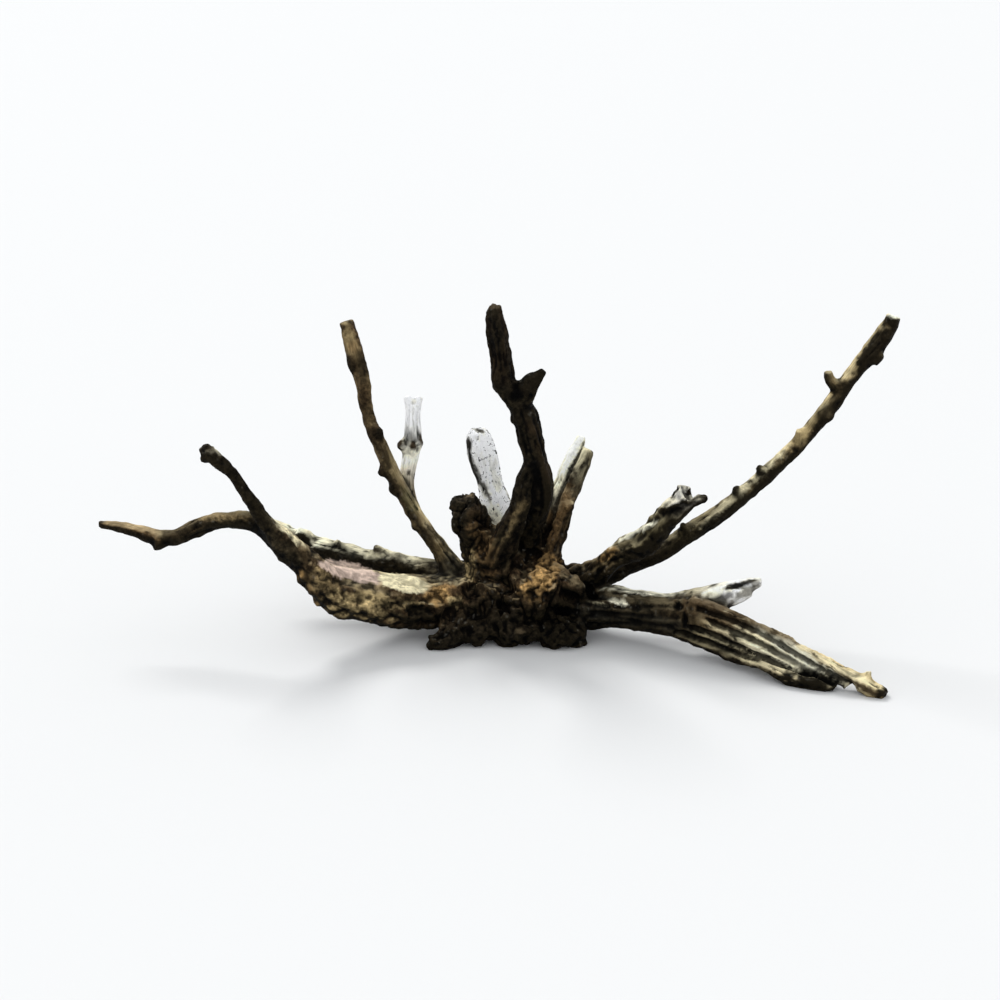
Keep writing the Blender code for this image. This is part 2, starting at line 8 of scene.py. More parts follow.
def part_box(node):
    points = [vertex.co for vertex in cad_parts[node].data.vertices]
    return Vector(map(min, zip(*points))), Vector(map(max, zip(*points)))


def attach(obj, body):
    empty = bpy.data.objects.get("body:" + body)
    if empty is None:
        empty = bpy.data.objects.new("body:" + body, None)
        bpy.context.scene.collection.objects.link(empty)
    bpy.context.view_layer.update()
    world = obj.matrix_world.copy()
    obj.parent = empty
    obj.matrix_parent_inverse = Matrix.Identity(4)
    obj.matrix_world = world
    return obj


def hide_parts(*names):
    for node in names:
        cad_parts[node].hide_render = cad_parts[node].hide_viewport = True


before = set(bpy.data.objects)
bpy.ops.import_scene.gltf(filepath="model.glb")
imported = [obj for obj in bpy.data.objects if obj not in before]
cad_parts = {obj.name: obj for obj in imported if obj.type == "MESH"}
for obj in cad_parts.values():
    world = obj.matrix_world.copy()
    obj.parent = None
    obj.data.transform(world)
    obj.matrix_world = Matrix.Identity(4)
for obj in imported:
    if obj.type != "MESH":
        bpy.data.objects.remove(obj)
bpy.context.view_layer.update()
print("frame loaded")

# The driftwood is the CAD's own form again, from the same readings of the front view, on a finer grid and
# with finer wear. A reading is across, down and depth behind the crown, then the radius. Readings and radii
# are in the front view's units, of which the driftwood is 800 wide.
driftwood = {
    "overallWidth": 0.600,
    "widthUnits": 800,  # of the front view's units, and below that of the whole picture
    "pictureUnits": 1000,
    "viewCentre": (500, 500),
    "viewDistance": 1.6,
    "viewTilt": math.radians(18),  # how far the front view looks down
    "viewHeight": 0.103,  # how high the middle of the front view lies
    "routeStep": 0.0025,
    "tubeResolution": 6,
    "lumpSubdivisions": 5,
    "lumpCore": 0.003,  # length of the line at the middle of a lump
    "formVoxel": 0.0016,
    "filletPasses": 8,
    "filletFactor": 0.5,
    "filletLoss": 0.0007,  # what the smoothing takes off a limb's radius, and off its end
    "endLoss": 0.00105,
    "carvedVoxel": 0.00095,
    "mostTriangles": 198000,
    "flatAboveGround": 0.0009,  # where the feet are worn flat, before the whole is set down
    "flatCatch": 0.0001,
    "blend": 0.004,  # reach over which one limb's surface turns into the next one's
    "blendReach": 6,  # and how many times that is looked at round a limb
    "lumpSize": 0.017,
    "lumpRadius": 0.018,
    "barkSize": 0.0085,
    "barkMiddle": 0.50,
    "barkShare": 0.35,  # bark is no deeper than this share of the radius
    "barkWarp": 0.55,
    "barkApart": (0.0, 31.7, 67.3),
    "barkOctaves": 2,
    "hollowFacing": 0.35,  # hollows are fully deep where the skin faces the front at least this much
    "decimals": 8,  # heights are rounded to these, so that every run gives the same ones
    "grooveLength": 0.060,
    "grooveRise": 1.3,
    "grooveFloor": 0.35,
    "limbApart": 7.3,
}

# Depth of grooves and lumps as a share of the radius, depth of bark in metres, grooves round the limb,
# then how rough the finest wear is and how ragged the edges of the bark are.
wear = {
    "branch": {"grooves": 0.14, "lumps": 0.16, "bark": 0.0008, "count": 1.4, "rough": 0.22, "ragged": 0.2},
    "split": {"grooves": 0.34, "lumps": 0.10, "bark": 0.0010, "count": 1.7, "rough": 0.35, "ragged": 0.5},
    "root": {"grooves": 0.24, "lumps": 0.14, "bark": 0.0022, "count": 1.6, "rough": 0.60, "ragged": 0.7},
    "trunk": {"grooves": 0.18, "lumps": 0.12, "bark": 0.0012, "count": 2.4, "rough": 0.35, "ragged": 0.3},
    "burl": {"grooves": 0.0, "lumps": 0.16, "bark": 0.0045, "count": 1.0, "rough": 0.85, "ragged": 1.0},
    "plate": {"grooves": 0.05, "lumps": 0.07, "bark": 0.0003, "count": 1.0, "rough": 0.12, "ragged": 0.4},
    "twig": {"grooves": 0.06, "lumps": 0.12, "bark": 0.0005, "count": 1.0, "rough": 0.20, "ragged": 0.2},
}
bundles = {"splitStub": (0.0045, 0.0020), "strand": (0.0055, 0.0032)}  # depth and width of their splits

limbRoutes = {
    # The left limb runs low from the crown, turns up at an elbow and forks.
    "leftSweep": ("root", [
        (492, 594, 0, 27), (462, 598, -14, 25), (430, 602, -26, 26.6), (398, 603, -38, 26),
        (364, 598, -48, 22), (333, 591, -56, 20), (315, 573.5, -62, 17.2), (299, 555.5, -66, 13.2),
        (282, 541, -68, 12.5),
    ]),
    "leftSweepBack": ("plate", [
        (480, 592, 16, 19), (445, 595, 8, 18), (405, 593, -4, 18), (368, 586.5, -20, 16),
        (338, 579, -36, 13), (316, 570, -50, 9.5),
    ]),
    "leftSweepMiddle": ("plate", [
        (470, 593, 4, 20), (437, 596.5, -9, 21.5), (401, 595.5, -21, 21.5), (366, 589.5, -34, 20),
        (336.5, 582.5, -46, 17), (322, 575, -52, 13),
    ]),
    "leftRise": ("branch", [
        (297, 556, -66, 13), (278, 537, -70, 11), (263, 518.5, -74, 8), (252.2, 503, -78, 6.8),
        (238.8, 482.5, -82, 6.6), (227, 468, -86, 7), (216.8, 461, -88, 7.6), (209, 454.5, -89, 9.6),
        (203, 452.5, -90, 9.2),
    ]),
    "leftRiseKnuckle": ("burl", [(213, 450, -86, 7.6), (202, 456, -88, 8)]),
    "leftReach": ("branch", [
        (300, 562, -64, 12), (280, 544, -62, 10.5), (266, 531, -60, 9.6), (250, 521.6, -57, 9.6),
        (232, 520, -54, 9.4), (212, 522, -50, 9), (196, 528, -47, 9), (182, 535, -45, 8.3),
        (166, 537.5, -42, 8.4), (151, 535, -40, 8.2), (136, 530.7, -37, 6.9), (119, 526.7, -34, 5.8),
        (99, 523.8, -31, 4.2),
    ]),
    "leftReachBump": ("twig", [(164, 538, -42, 8.5), (158, 541.5, -44, 9.4), (154.5, 541.5, -45, 9.4)]),

    # The straight limb behind it.
    "rearLeft": ("branch", [
        (490, 578, 18, 20), (462, 573, 24, 14), (432, 571, 30, 12.4), (397, 566, 40, 12.8),
        (353, 558.5, 52, 13.2), (320, 547.8, 60, 11.7), (297, 537.4, 66, 9), (281, 527.5, 70, 6.4),
        (269, 521.5, 73, 4.6),
    ]),
    "rearLeftKnuckle": ("burl", [(306, 539, 60, 7.2), (296, 531, 58, 6.6)]),

    # The tall thin limb on the left, and the pale twig-like fork behind it.
    "tallLeft": ("branch", [
        (470, 590, 2, 24), (456, 573, 4, 15), (445, 557, 6, 11), (433, 540, 8, 9), (419, 520, 11, 8.2),
        (406.5, 500, 14, 7.8), (395.5, 480, 17, 8), (387, 461, 20, 7.8), (378, 440, 23, 7.2),
        (371, 425, 26, 7.2), (366, 408, 28, 6.8), (362.5, 382, 31, 8.4), (356.8, 359, 34, 9),
        (350.8, 338, 37, 8.7), (346, 321.5, 39, 7.4),
    ]),
    "paleTwin": ("plate", [
        (421, 522, 16, 7), (412, 505, 22, 6.8), (407.5, 487, 29, 7), (408, 470, 35, 7.8),
        (411, 455, 39, 8.4), (413, 438, 42, 8.6), (413, 418, 45, 8.4), (413, 405, 47, 8),
    ]),

    # The bark knob and the pale plank behind it, at the crown's upper left.
    "knobNeck": ("burl", [
        (498, 575, -6, 26), (484, 555, -12, 21), (474.5, 535, -16, 17), (468, 517, -18, 18),
    ]),
    "palePlankLeft": ("plate", [
        (512, 560, 14, 20), (499, 525, 34, 13), (489, 503, 40, 10), (484, 484, 46, 6.5),
        (477.5, 464, 50, 7.2), (473, 446, 53, 7.8), (474, 436, 55, 7.8), (477, 430, 56, 4.6),
    ]),
    "palePlankMiddle": ("plate", [
        (515, 560, 12, 20), (503, 525, 31, 12.5), (495, 503, 37, 9.8), (488.5, 483, 43, 8.6),
        (483.5, 463, 47, 9), (480, 446, 50, 9.4), (478, 433, 52, 7),
    ]),
    "palePlankRight": ("plate", [
        (518, 560, 18, 20), (509, 525, 36, 14), (501, 503, 42, 10.8), (494, 482, 48, 8.6),
        (490.5, 462, 52, 9), (485.8, 446, 55, 9.2), (481.5, 435, 57, 8.6), (478.5, 429.5, 58, 5.4),
    ]),

    # The dark spire with its spur and the buttress at its foot.
    "spireShaft": ("split", [
        (520, 578, 10, 26), (526, 546, 4, 15), (532, 525, -10, 11.5), (538, 508, -26, 11.8),
        (541.5, 492, -35, 12.4), (540, 477, -38, 12.4), (536, 460, -41, 11.8), (531, 440, -43, 11.8),
        (526, 422, -46, 12.6), (521.5, 409, -48, 11.8), (512, 395, -50, 10.6), (503, 380, -52, 12.2),
        (501, 362, -55, 10.8), (499.5, 345, -57, 10.4), (496.8, 328, -60, 9.8), (495, 315, -62, 8.8),
        (495.3, 305, -64, 6),
    ]),
    "spireElbow": ("branch", [(506, 386, -50, 9.5), (494.5, 383, -50, 7)]),
    "spireSpur": ("branch", [
        (519, 404, -48, 10), (524.5, 391.5, -52, 11.5), (530, 383, -56, 10), (535.5, 378, -60, 7.8),
        (540, 374, -63, 5.4), (543.5, 371, -65, 3.4),
    ]),
    "spireButtress": ("split", [
        (494, 566, -18, 18), (500, 551, -28, 16.5), (507, 536, -36, 14.6), (515, 520, -42, 12.2),
        (521, 503, -45, 10.8), (524, 484, -46, 10), (531.5, 463, -44, 7.6),
    ]),

    # The stub split in two, right of the spire.
    "splitStubLeft": ("split", [
        (538, 570, 2, 20), (546, 540, 8, 12.5), (552, 515, 14, 10.2), (559, 493, 20, 9),
        (566.5, 473.5, 25, 8.6), (572.8, 456.5, 29, 7.3), (577.8, 446, 32, 6.3), (581.5, 436.5, 34, 4.8),
    ]),
    "splitStubRight": ("split", [
        (544, 575, -2, 19), (552, 545, 2, 12), (560, 520, 7, 9.4), (566.5, 502, 12, 9.2),
        (573.3, 486, 16, 9.4), (579.8, 471, 20, 8.8), (585.5, 460, 23, 7.6), (588.5, 450.5, 25, 6),
    ]),

    # The front feet's pointed toes, and the short spur at the crown's right.
    "toeLeft": ("root", [
        (462, 628, -42, 15), (449, 639.5, -54, 10.8), (438, 643, -59, 9.6), (429, 642.5, -60, 7),
    ]),
    "toeLeftSecond": ("root", [(476, 624, -42, 14), (475, 636, -52, 10), (474, 644, -58, 6.6)]),
    "toeMiddle": ("root", [(504, 622, -40, 18), (509, 636, -52, 13), (512, 643, -58, 8)]),
    "toeRight": ("root", [(566, 624, -42, 17), (554, 638, -55, 12), (548, 644.5, -61, 7.6)]),
    "toeRightSecond": ("root", [(566, 624, -38, 17), (577, 636, -50, 12), (585, 638, -53, 9.4)]),
    "crownSpur": ("root", [
        (550, 570, -20, 12), (565, 580, -31, 9), (577, 587.5, -37, 6.8), (585, 591.5, -41, 4),
    ]),

    # The stout stub on the right, with a burl and a thorn at its end.
    "rightStub": ("root", [
        (556, 592, -2, 22), (579, 580, -10, 15.5), (600, 569.5, -18, 13.3), (616, 557, -25, 13.6),
        (633, 547.5, -31, 14.2), (648, 538, -36, 14.4), (660, 526, -40, 13.6), (670, 513, -43, 13),
        (678.5, 501, -46, 11), (684.5, 494, -48, 9),
    ]),
    "rightStubBurl": ("burl", [(680, 495, -46, 10.6), (685.5, 493, -48, 10.8)]),
    "rightThorn": ("branch", [
        (664, 524, -42, 11), (680, 511, -48, 8.5), (691, 504, -52, 6.2), (700, 499, -55, 4.8),
        (707, 498, -57, 3),
    ]),

    # The long curved limb on the right.
    "longRight": ("branch", [
        (566, 597, 2, 22), (600, 578, 8, 12), (626, 566.5, 11, 9.6), (651, 556.5, 14, 9.8),
        (675.5, 542.3, 17, 10), (699, 526.5, 20, 9.4), (721, 511.3, 22, 9), (745, 493.4, 25, 9),
        (770.5, 470.5, 27, 8.6), (800.5, 441.5, 30, 8.3), (826, 411, 33, 8.9), (844.7, 385, 36, 8.5),
        (865.7, 357.5, 39, 9.7), (882.3, 337.5, 41, 9.9), (890.5, 324, 43, 9.3), (893.5, 315.5, 43, 8),
    ]),

    # The broad root on the lower right: a trunk that splits into strands of different lengths.
    "rootTrunk": ("trunk", [
        (560, 604, -4, 24), (600, 607, -26, 21.6), (640, 610.5, -48, 20.6), (672, 613, -64, 19.6),
        (700, 616, -78, 16.5), (726, 624, -94, 12), (750, 634, -108, 7),
    ]),
    "strandRail": ("split", [
        (690, 603, -78, 8), (732, 616.5, -100, 7.6), (760, 629, -116, 7), (782, 640, -128, 6.8),
        (806, 653.5, -142, 7), (830, 667, -155, 8.4), (851, 679.5, -165, 9.8),
        (871, 688.5, -175, 9), (885, 694.5, -181, 7.2),
    ]),
    "strandSecond": ("split", [
        (700, 612, -84, 8), (732, 625, -104, 7.6), (757, 636, -119, 7.2), (782, 651, -133, 6.8),
        (806, 666, -146, 6.6), (828, 677.5, -158, 7), (845, 684.5, -166, 7.4),
    ]),
    "strandThird": ("split", [
        (690, 618, -82, 9), (714, 627, -98, 8), (738, 638, -112, 7.2), (762, 649, -126, 6.8),
        (784, 660, -137, 6.2), (802, 668, -146, 5.4), (816, 673, -152, 3.4),
    ]),
    "strandFourth": ("split", [
        (680, 624, -76, 9), (706, 635, -94, 8), (728, 646, -108, 7.6), (752, 658, -122, 7.4),
        (773, 669, -134, 7), (792, 678, -144, 6), (813, 682, -152, 3.8),
    ]),
    "strandRim": ("split", [
        (650, 622, -60, 10), (690, 636, -82, 8.2), (720, 647.5, -102, 8), (746, 658.5, -120, 8.2),
        (768, 667.5, -136, 8), (790, 677.5, -151, 8), (812, 683, -162, 6.6), (836, 687.5, -168, 4.2),
    ]),
    "strandBack": ("split", [
        (690, 618, -60, 12), (730, 636, -82, 12), (765, 654, -104, 11), (795, 669, -124, 8),
        (818, 679, -142, 5),
    ]),
    "rootWeb": ("root", [
        (690, 614, -58, 12), (730, 631, -80, 11), (765, 645, -101, 11), (795, 658, -122, 10.5),
        (818, 669, -139, 8), (830, 674, -148, 6),
    ]),
    "rootProng": ("plate", [
        (668, 604, -54, 10), (698, 598, -66, 10.6), (722, 592, -72, 9.8), (742, 586.5, -78, 8),
        (756, 583, -82, 6), (761.5, 582, -83, 4.6),
    ]),
    "rootProngLow": ("plate", [
        (690, 608, -66, 10), (718, 603, -76, 7.6), (737, 598.5, -82, 6), (751, 593, -86, 4),
    ]),
    "rootProngMiddle": ("plate", [
        (684, 606, -60, 11), (716, 598.5, -72, 8.6), (737, 592.5, -78, 7), (750, 588, -82, 5),
    ]),
}

# Pits and rotted hollows in the front: middle, then half widths across and down, and depth.
frontHollows = {
    "sweepSide": ((420, 611), (18, 8), 6),
    "crownLeft": ((471, 593), (11, 10), 8),
    "crownMiddle": ((511, 589), (8, 10), 7),
    "underBrow": ((563, 615), (20, 11), 11),
    "rightCleft": ((589, 592), (9, 7), 8),
    "trunkEye": ((678, 605), (6, 6.5), 5),
    "trunkCrack": ((684, 619), (3.4, 12), 4),
    "prongCleft": ((740, 586), (15, 3.4), 4.5),
    "rootGap": ((808, 672), (12, 4.5), 6),
}

# Twig stubs and knots. They all have the wear of a twig, and their looks go by their names.
twigRoutes = {
    "stubOnLongRight": [(838.5, 389, 34, 7), (830, 380, 32, 5.4), (828, 371.5, 31, 4.6)],
    "knotLongRightA": [(800, 440, 27, 6), (799, 430, 24, 4.2)],
    "knotLongRightB": [(764, 475, 25, 6), (759, 467.5, 20, 4)],
    "knotLongRightC": [(740, 497, 22, 6), (736, 487, 18, 3.6)],
    "knotLongRightD": [(688, 534, 16, 6), (682.5, 524, 10, 3)],
    "knotLongRightE": [(872, 362, 36, 7), (881, 354, 34, 4.6)],
    "knotLongRightF": [(826, 414, 30, 7), (832, 419, 26, 4.4)],
    "knotLongRightG": [(806, 436, 34, 6), (812, 431, 44, 3.4)],
    "twigRearLeftA": [(339, 549, 52, 4), (337.5, 540.5, 50, 2.8)],
    "twigRearLeftB": [(378, 555, 44, 5), (377.5, 545.5, 42, 3.4)],
    "twigRearLeftC": [(386, 556, 42, 4), (386, 549, 41, 2.2)],
    "bumpRearLeft": [(392, 558, 38, 7), (402, 558, 36, 6)],
    "collarTallLeft": [(375, 433, 22, 6.4), (382, 432, 19, 3.6)],
    "knotTallLeftA": [(384, 474, 16, 5), (379, 471, 14, 3.4)],
    "knotTallLeftB": [(418, 526, 10, 6), (412, 526, 8, 3.4)],
    "knotTallLeftC": [(353, 366, 30, 6), (349.5, 363, 28, 3)],
    "knotTallLeftD": [(394, 490, 14, 5), (389.5, 489, 12, 3)],
    "twigPaleTwinA": [(409, 450, 38, 5.4), (399, 443.5, 35, 4.8)],
    "twigPaleTwinB": [(415, 452, 38, 5), (422, 441, 40, 3)],
    "twigPaleTwinC": [(412, 452, 36, 5.4), (413.5, 444, 31, 4)],
    "hornPaleTwinA": [(409.5, 406, 47, 5), (407, 396.5, 47, 3.6)],
    "hornPaleTwinB": [(417, 406, 47, 5), (420, 397, 48, 3.4)],
    "knotLeftRise": [(255, 505, -76, 6), (260, 502, -77, 3)],
    "knotLeftReach": [(186, 535, -46, 6), (184, 541, -48, 3)],
    "nubRootTip": [(862, 681, -168, 6), (868, 674, -168, 4), (871, 671.5, -168, 2.4)],
    "barkSpurSplitStub": [(568, 508, 4, 7), (574, 505, 2, 2.6)],
    "knotSpire": [(517, 418, -46, 8), (511, 417, -46, 5)],
}

# Lumps of the crown and its feet: middle, then radii across, in depth and up.
crownLumps = {
    "crownLeft": ((492, 588, 0), (38, 40, 33)),
    "crownMiddle": ((532, 592, -4), (44, 46, 38)),
    "crownRight": ((566, 604, -2), (31, 40, 30)),
    "saddle": ((490, 538, -21), (16, 14, 15)),
    "crownBack": ((528, 585, 34), (44, 30, 34)),
    "crownUpper": ((503, 566, -6), (28, 26, 21)),
    "crownUpperRight": ((547, 563, 2), (19, 22, 19)),
    "brow": ((541, 586, -38), (20, 12, 18)),
    "cheek": ((478, 600, -30), (22, 18, 17)),
    "chin": ((536, 601, -40), (18, 13, 14)),
    "throat": ((518, 618, -30), (26, 20, 18)),
    "knob": ((467, 511.5, -18), (19.5, 18, 20.5)),
    "knobCap": ((462, 518, -24), (12, 11, 14)),
    "elbow": ((420, 606, -32), (19, 18, 20)),
    "footFrontLeft": ((453, 627, -46), (15, 16, 12)),
    "shinLeft": ((460, 620, -34), (19, 20, 16)),
    "footMiddleLeft": ((484, 629, -44), (16, 14, 11)),
    "shinMiddle": ((494, 622, -36), (18, 18, 18)),
    "footMiddle": ((523, 632.5, -48), (18, 16, 12)),
    "footRight": ((564, 632, -47), (25, 20, 15.5)),
    "footBackLeft": ((484, 603, 44), (20, 20, 17)),
    "footBackRight": ((560, 602, 46), (21, 20, 17)),
}


def placedAt(across, down, depth):
    # where a reading lies in metres, and how much larger things are there than they look
    unit = driftwood["overallWidth"] / driftwood["widthUnits"]
    distance, tilt = driftwood["viewDistance"], driftwood["viewTilt"]
    away = depth * unit
    rise = (driftwood["viewCentre"][1] - down) * unit
    cosine, sine = math.cos(tilt), math.sin(tilt)
    height = (rise * distance + away * (rise * cosine - distance * sine)) / (distance * cosine + rise * sine)
    larger = (distance + away * cosine - height * sine) / distance
    sideways = (across - driftwood["viewCentre"][0]) * unit * larger
    return Vector((sideways, away, height + driftwood["viewHeight"])), larger


def smoothLine(readings):
    # rows of x, y, z and radius along a smooth curve through the readings
    unit = driftwood["overallWidth"] / driftwood["widthUnits"]
    rows = []
    for across, down, depth, radius in readings:
        place, larger = placedAt(across, down, depth)
        rows.append((*place, radius * unit * larger + driftwood["filletLoss"]))
    rows = np.array(rows)
    last = rows[-1, :3] - rows[-2, :3]
    rows[-1, :3] += last / np.linalg.norm(last) * driftwood["endLoss"]
    spans = np.linalg.norm(np.diff(rows[:, :3], axis=0), axis=1)
    reached = np.concatenate([[0.0], np.cumsum(spans)])
    slopes = np.gradient(rows, reached, axis=0)
    along = np.linspace(0, reached[-1], max(3, round(reached[-1] / driftwood["routeStep"]) + 1))
    piece = np.clip(np.searchsorted(reached, along, side="right") - 1, 0, len(spans) - 1)
    width = spans[piece][:, None]
    t = (along - reached[piece])[:, None] / width
    return (
        rows[piece] * (2 * t**3 - 3 * t**2 + 1)
        + slopes[piece] * width * (t**3 - 2 * t**2 + t)
        + rows[piece + 1] * (3 * t**2 - 2 * t**3)
        + slopes[piece + 1] * width * (t**3 - t**2)
    )


def makeLimb(name, kind, rows):
    # the limb's line, with what says where a point lies along and round it
    centres = rows[:, :3]
    tangents = np.gradient(centres, axis=0)
    tangents /= np.linalg.norm(tangents, axis=1)[:, None]
    along = np.concatenate([[0.0], np.cumsum(np.linalg.norm(np.diff(centres, axis=0), axis=1))])
    side = np.array((0.0, 1.0, 0.0)) if abs(tangents[0][1]) < 0.8 else np.array((1.0, 0.0, 0.0))
    sides = np.empty_like(centres)
    for i, tangent in enumerate(tangents):
        side = side - tangent * (side @ tangent)
        side /= np.linalg.norm(side)
        sides[i] = side
    bundle = next((number for number, start in enumerate(bundles, 1) if name.startswith(start)), 0)
    return {
        "name": name, "kind": kind, "centres": centres, "radii": rows[:, 3], "tangents": tangents,
        "along": along, "sides": sides, "rounds": np.cross(tangents, sides), "bundle": bundle,
    }


def addTube(name, rows):
    data = bpy.data.curves.new(name, "CURVE")
    data.dimensions = "3D"
    data.bevel_depth = 1.0
    data.bevel_resolution = driftwood["tubeResolution"]
    data.use_fill_caps = True
    spline = data.splines.new("POLY")
    spline.points.add(len(rows) - 1)
    for point, row in zip(spline.points, rows):
        point.co = (*row[:3], 1.0)
        point.radius = row[3]
    tube = bpy.data.objects.new(name, data)
    bpy.context.collection.objects.link(tube)
    return tube


def applyModifier(obj, kind, **settings):
    bpy.context.view_layer.objects.active = obj
    modifier = obj.modifiers.new(kind.title(), kind)
    for key, value in settings.items():
        setattr(modifier, key, value)
    bpy.ops.object.modifier_apply(modifier=modifier.name)


def pointsOf(obj):
    points = np.empty(len(obj.data.vertices) * 3)
    obj.data.vertices.foreach_get("co", points)
    return points.reshape(-1, 3)


def normalsOf(obj):
    normals = np.empty(len(obj.data.vertices) * 3)
    obj.data.vertices.foreach_get("normal", normals)
    return normals.reshape(-1, 3)


def movePoints(obj, points):
    obj.data.vertices.foreach_set("co", points.ravel())
    obj.data.update()


def noiseAt(places):
    # the numbers that are added to places below only pick another part of the noise
    return np.array([noise.noise(place) for place in places.tolist()])


def pushAt(places):
    # three noises, from different places of the noise, as a direction
    return np.column_stack([noiseAt(places + apart) for apart in driftwood["barkApart"]])


def barkAt(places):
    # lumps of bark with creases between them, none like the next
    moved = places + driftwood["barkWarp"] * pushAt(places / 2)
    return np.array([noise.turbulence(place, driftwood["barkOctaves"], False) for place in moved.tolist()])


def plateEdgesAt(places):
    # how far each place is from the edge between two plates of bark
    nearest = np.array([noise.voronoi(place)[0][:2] for place in places.tolist()])
    return nearest[:, 1] - nearest[:, 0]


def frontView(points):
    # each point's reading in the front view, the other way round from placedAt
    unit = driftwood["overallWidth"] / driftwood["widthUnits"]
    distance, tilt = driftwood["viewDistance"], driftwood["viewTilt"]
    x, y, z = (points - (0, 0, driftwood["viewHeight"])).T
    larger = (distance + y * math.cos(tilt) - z * math.sin(tilt)) / distance
    across = driftwood["viewCentre"][0] + x / larger / unit
    down = driftwood["viewCentre"][1] - (y * math.sin(tilt) + z * math.cos(tilt)) / larger / unit
    return across, down


def frontHollowsAt(points, normals):
    # how deep the front's pits and hollows are at each point
    across, down = frontView(points)
    depth = np.zeros(len(points))
    for middle, halves, deep in frontHollows.values():
        reach = ((across - middle[0]) / halves[0]) ** 2 + ((down - middle[1]) / halves[1]) ** 2
        share = np.clip(1 - reach, 0, 1)
        depth = np.maximum(depth, share * deep * driftwood["overallWidth"] / driftwood["widthUnits"])
    return depth * np.clip(-normals[:, 1] / driftwood["hollowFacing"], 0, 1)


def surveyPoints(points, limbs):
    # each point's gap to each limb and how far along that limb it is, then where it lies on the nearest
    gaps = np.full((len(points), len(limbs)), 1.0)
    shares = np.zeros((len(points), len(limbs)))
    along, turn, radius = np.zeros((3, len(points)))
    best = np.full(len(points), np.inf)
    for index, limb in enumerate(limbs):
        reach = limb["radii"].max() + driftwood["blendReach"] * driftwood["blend"]
        low, high = limb["centres"].min(axis=0) - reach, limb["centres"].max(axis=0) + reach
        near = np.flatnonzero(((points > low) & (points < high)).all(axis=1))
        if len(near) == 0:
            continue
        offsets = points[near][:, None, :] - limb["centres"][None, :, :]
        distances = np.linalg.norm(offsets, axis=2) - limb["radii"]
        at = distances.argmin(axis=1)
        gap = distances[np.arange(len(near)), at]
        gaps[near, index] = gap
        shares[near, index] = at / (len(limb["centres"]) - 1)
        wins = gap < best[near]
        rows, at = near[wins], at[wins]
        best[rows] = gap[wins]
        offset = points[rows] - limb["centres"][at]
        ahead, aside, around = (
            (offset * limb[axis][at]).sum(axis=1) for axis in ("tangents", "sides", "rounds")
        )
        along[rows] = limb["along"][at] + ahead
        turn[rows] = np.arctan2(around, aside)
        radius[rows] = limb["radii"][at]
    ranked = gaps.argsort(axis=1)[:, :2]
    least = np.take_along_axis(gaps, ranked, axis=1)
    weights = np.exp(-(gaps - least[:, :1]) / driftwood["blend"])
    weights /= weights.sum(axis=1)[:, None]
    bundle = np.array([limb["bundle"] for limb in limbs])
    bundle = np.where(bundle[ranked[:, 0]] == bundle[ranked[:, 1]], bundle[ranked[:, 0]], 0)
    return {
        "nearest": ranked[:, 0], "lead": least[:, 1] - least[:, 0], "weights": weights, "shares": shares,
        "along": along, "turn": turn, "radius": radius, "bundle": bundle,
    }


def mixedWear(found, limbs, key):
    return found["weights"] @ np.array([wear[limb["kind"]][key] for limb in limbs])


def carveForm(obj, limbs):
    # the CAD's own grooves, lumps, bark, hollows and splits
    points, normals, d = pointsOf(obj), normalsOf(obj), driftwood
    found = surveyPoints(points, limbs)
    count = np.array([wear[limb["kind"]]["count"] for limb in limbs])[found["nearest"]]
    grain = np.column_stack([
        found["along"] / d["grooveLength"] + found["nearest"] * d["limbApart"],
        count * np.cos(found["turn"]), count * np.sin(found["turn"]),
    ])
    grooves = d["grooveRise"] * np.abs(noiseAt(grain)) - d["grooveFloor"]
    depth, width = np.array([(0.0, 1.0), *bundles.values()])[found["bundle"]].T
    barkDepth = np.minimum(mixedWear(found, limbs, "bark"), d["barkShare"] * found["radius"])
    grooves = grooves * mixedWear(found, limbs, "grooves") * found["radius"]
    lumps = noiseAt(points / d["lumpSize"]) * mixedWear(found, limbs, "lumps")
    height = (
        grooves * np.clip(found["lead"] / d["blend"], 0, 1)
        + lumps * np.minimum(found["radius"], d["lumpRadius"])
        + (barkAt(points / d["barkSize"]) - d["barkMiddle"]) * barkDepth
        - np.clip(1 - found["lead"] / width, 0, 1) * depth
        - frontHollowsAt(points, normals)
    )
    movePoints(obj, points + normals * height.round(d["decimals"])[:, None])


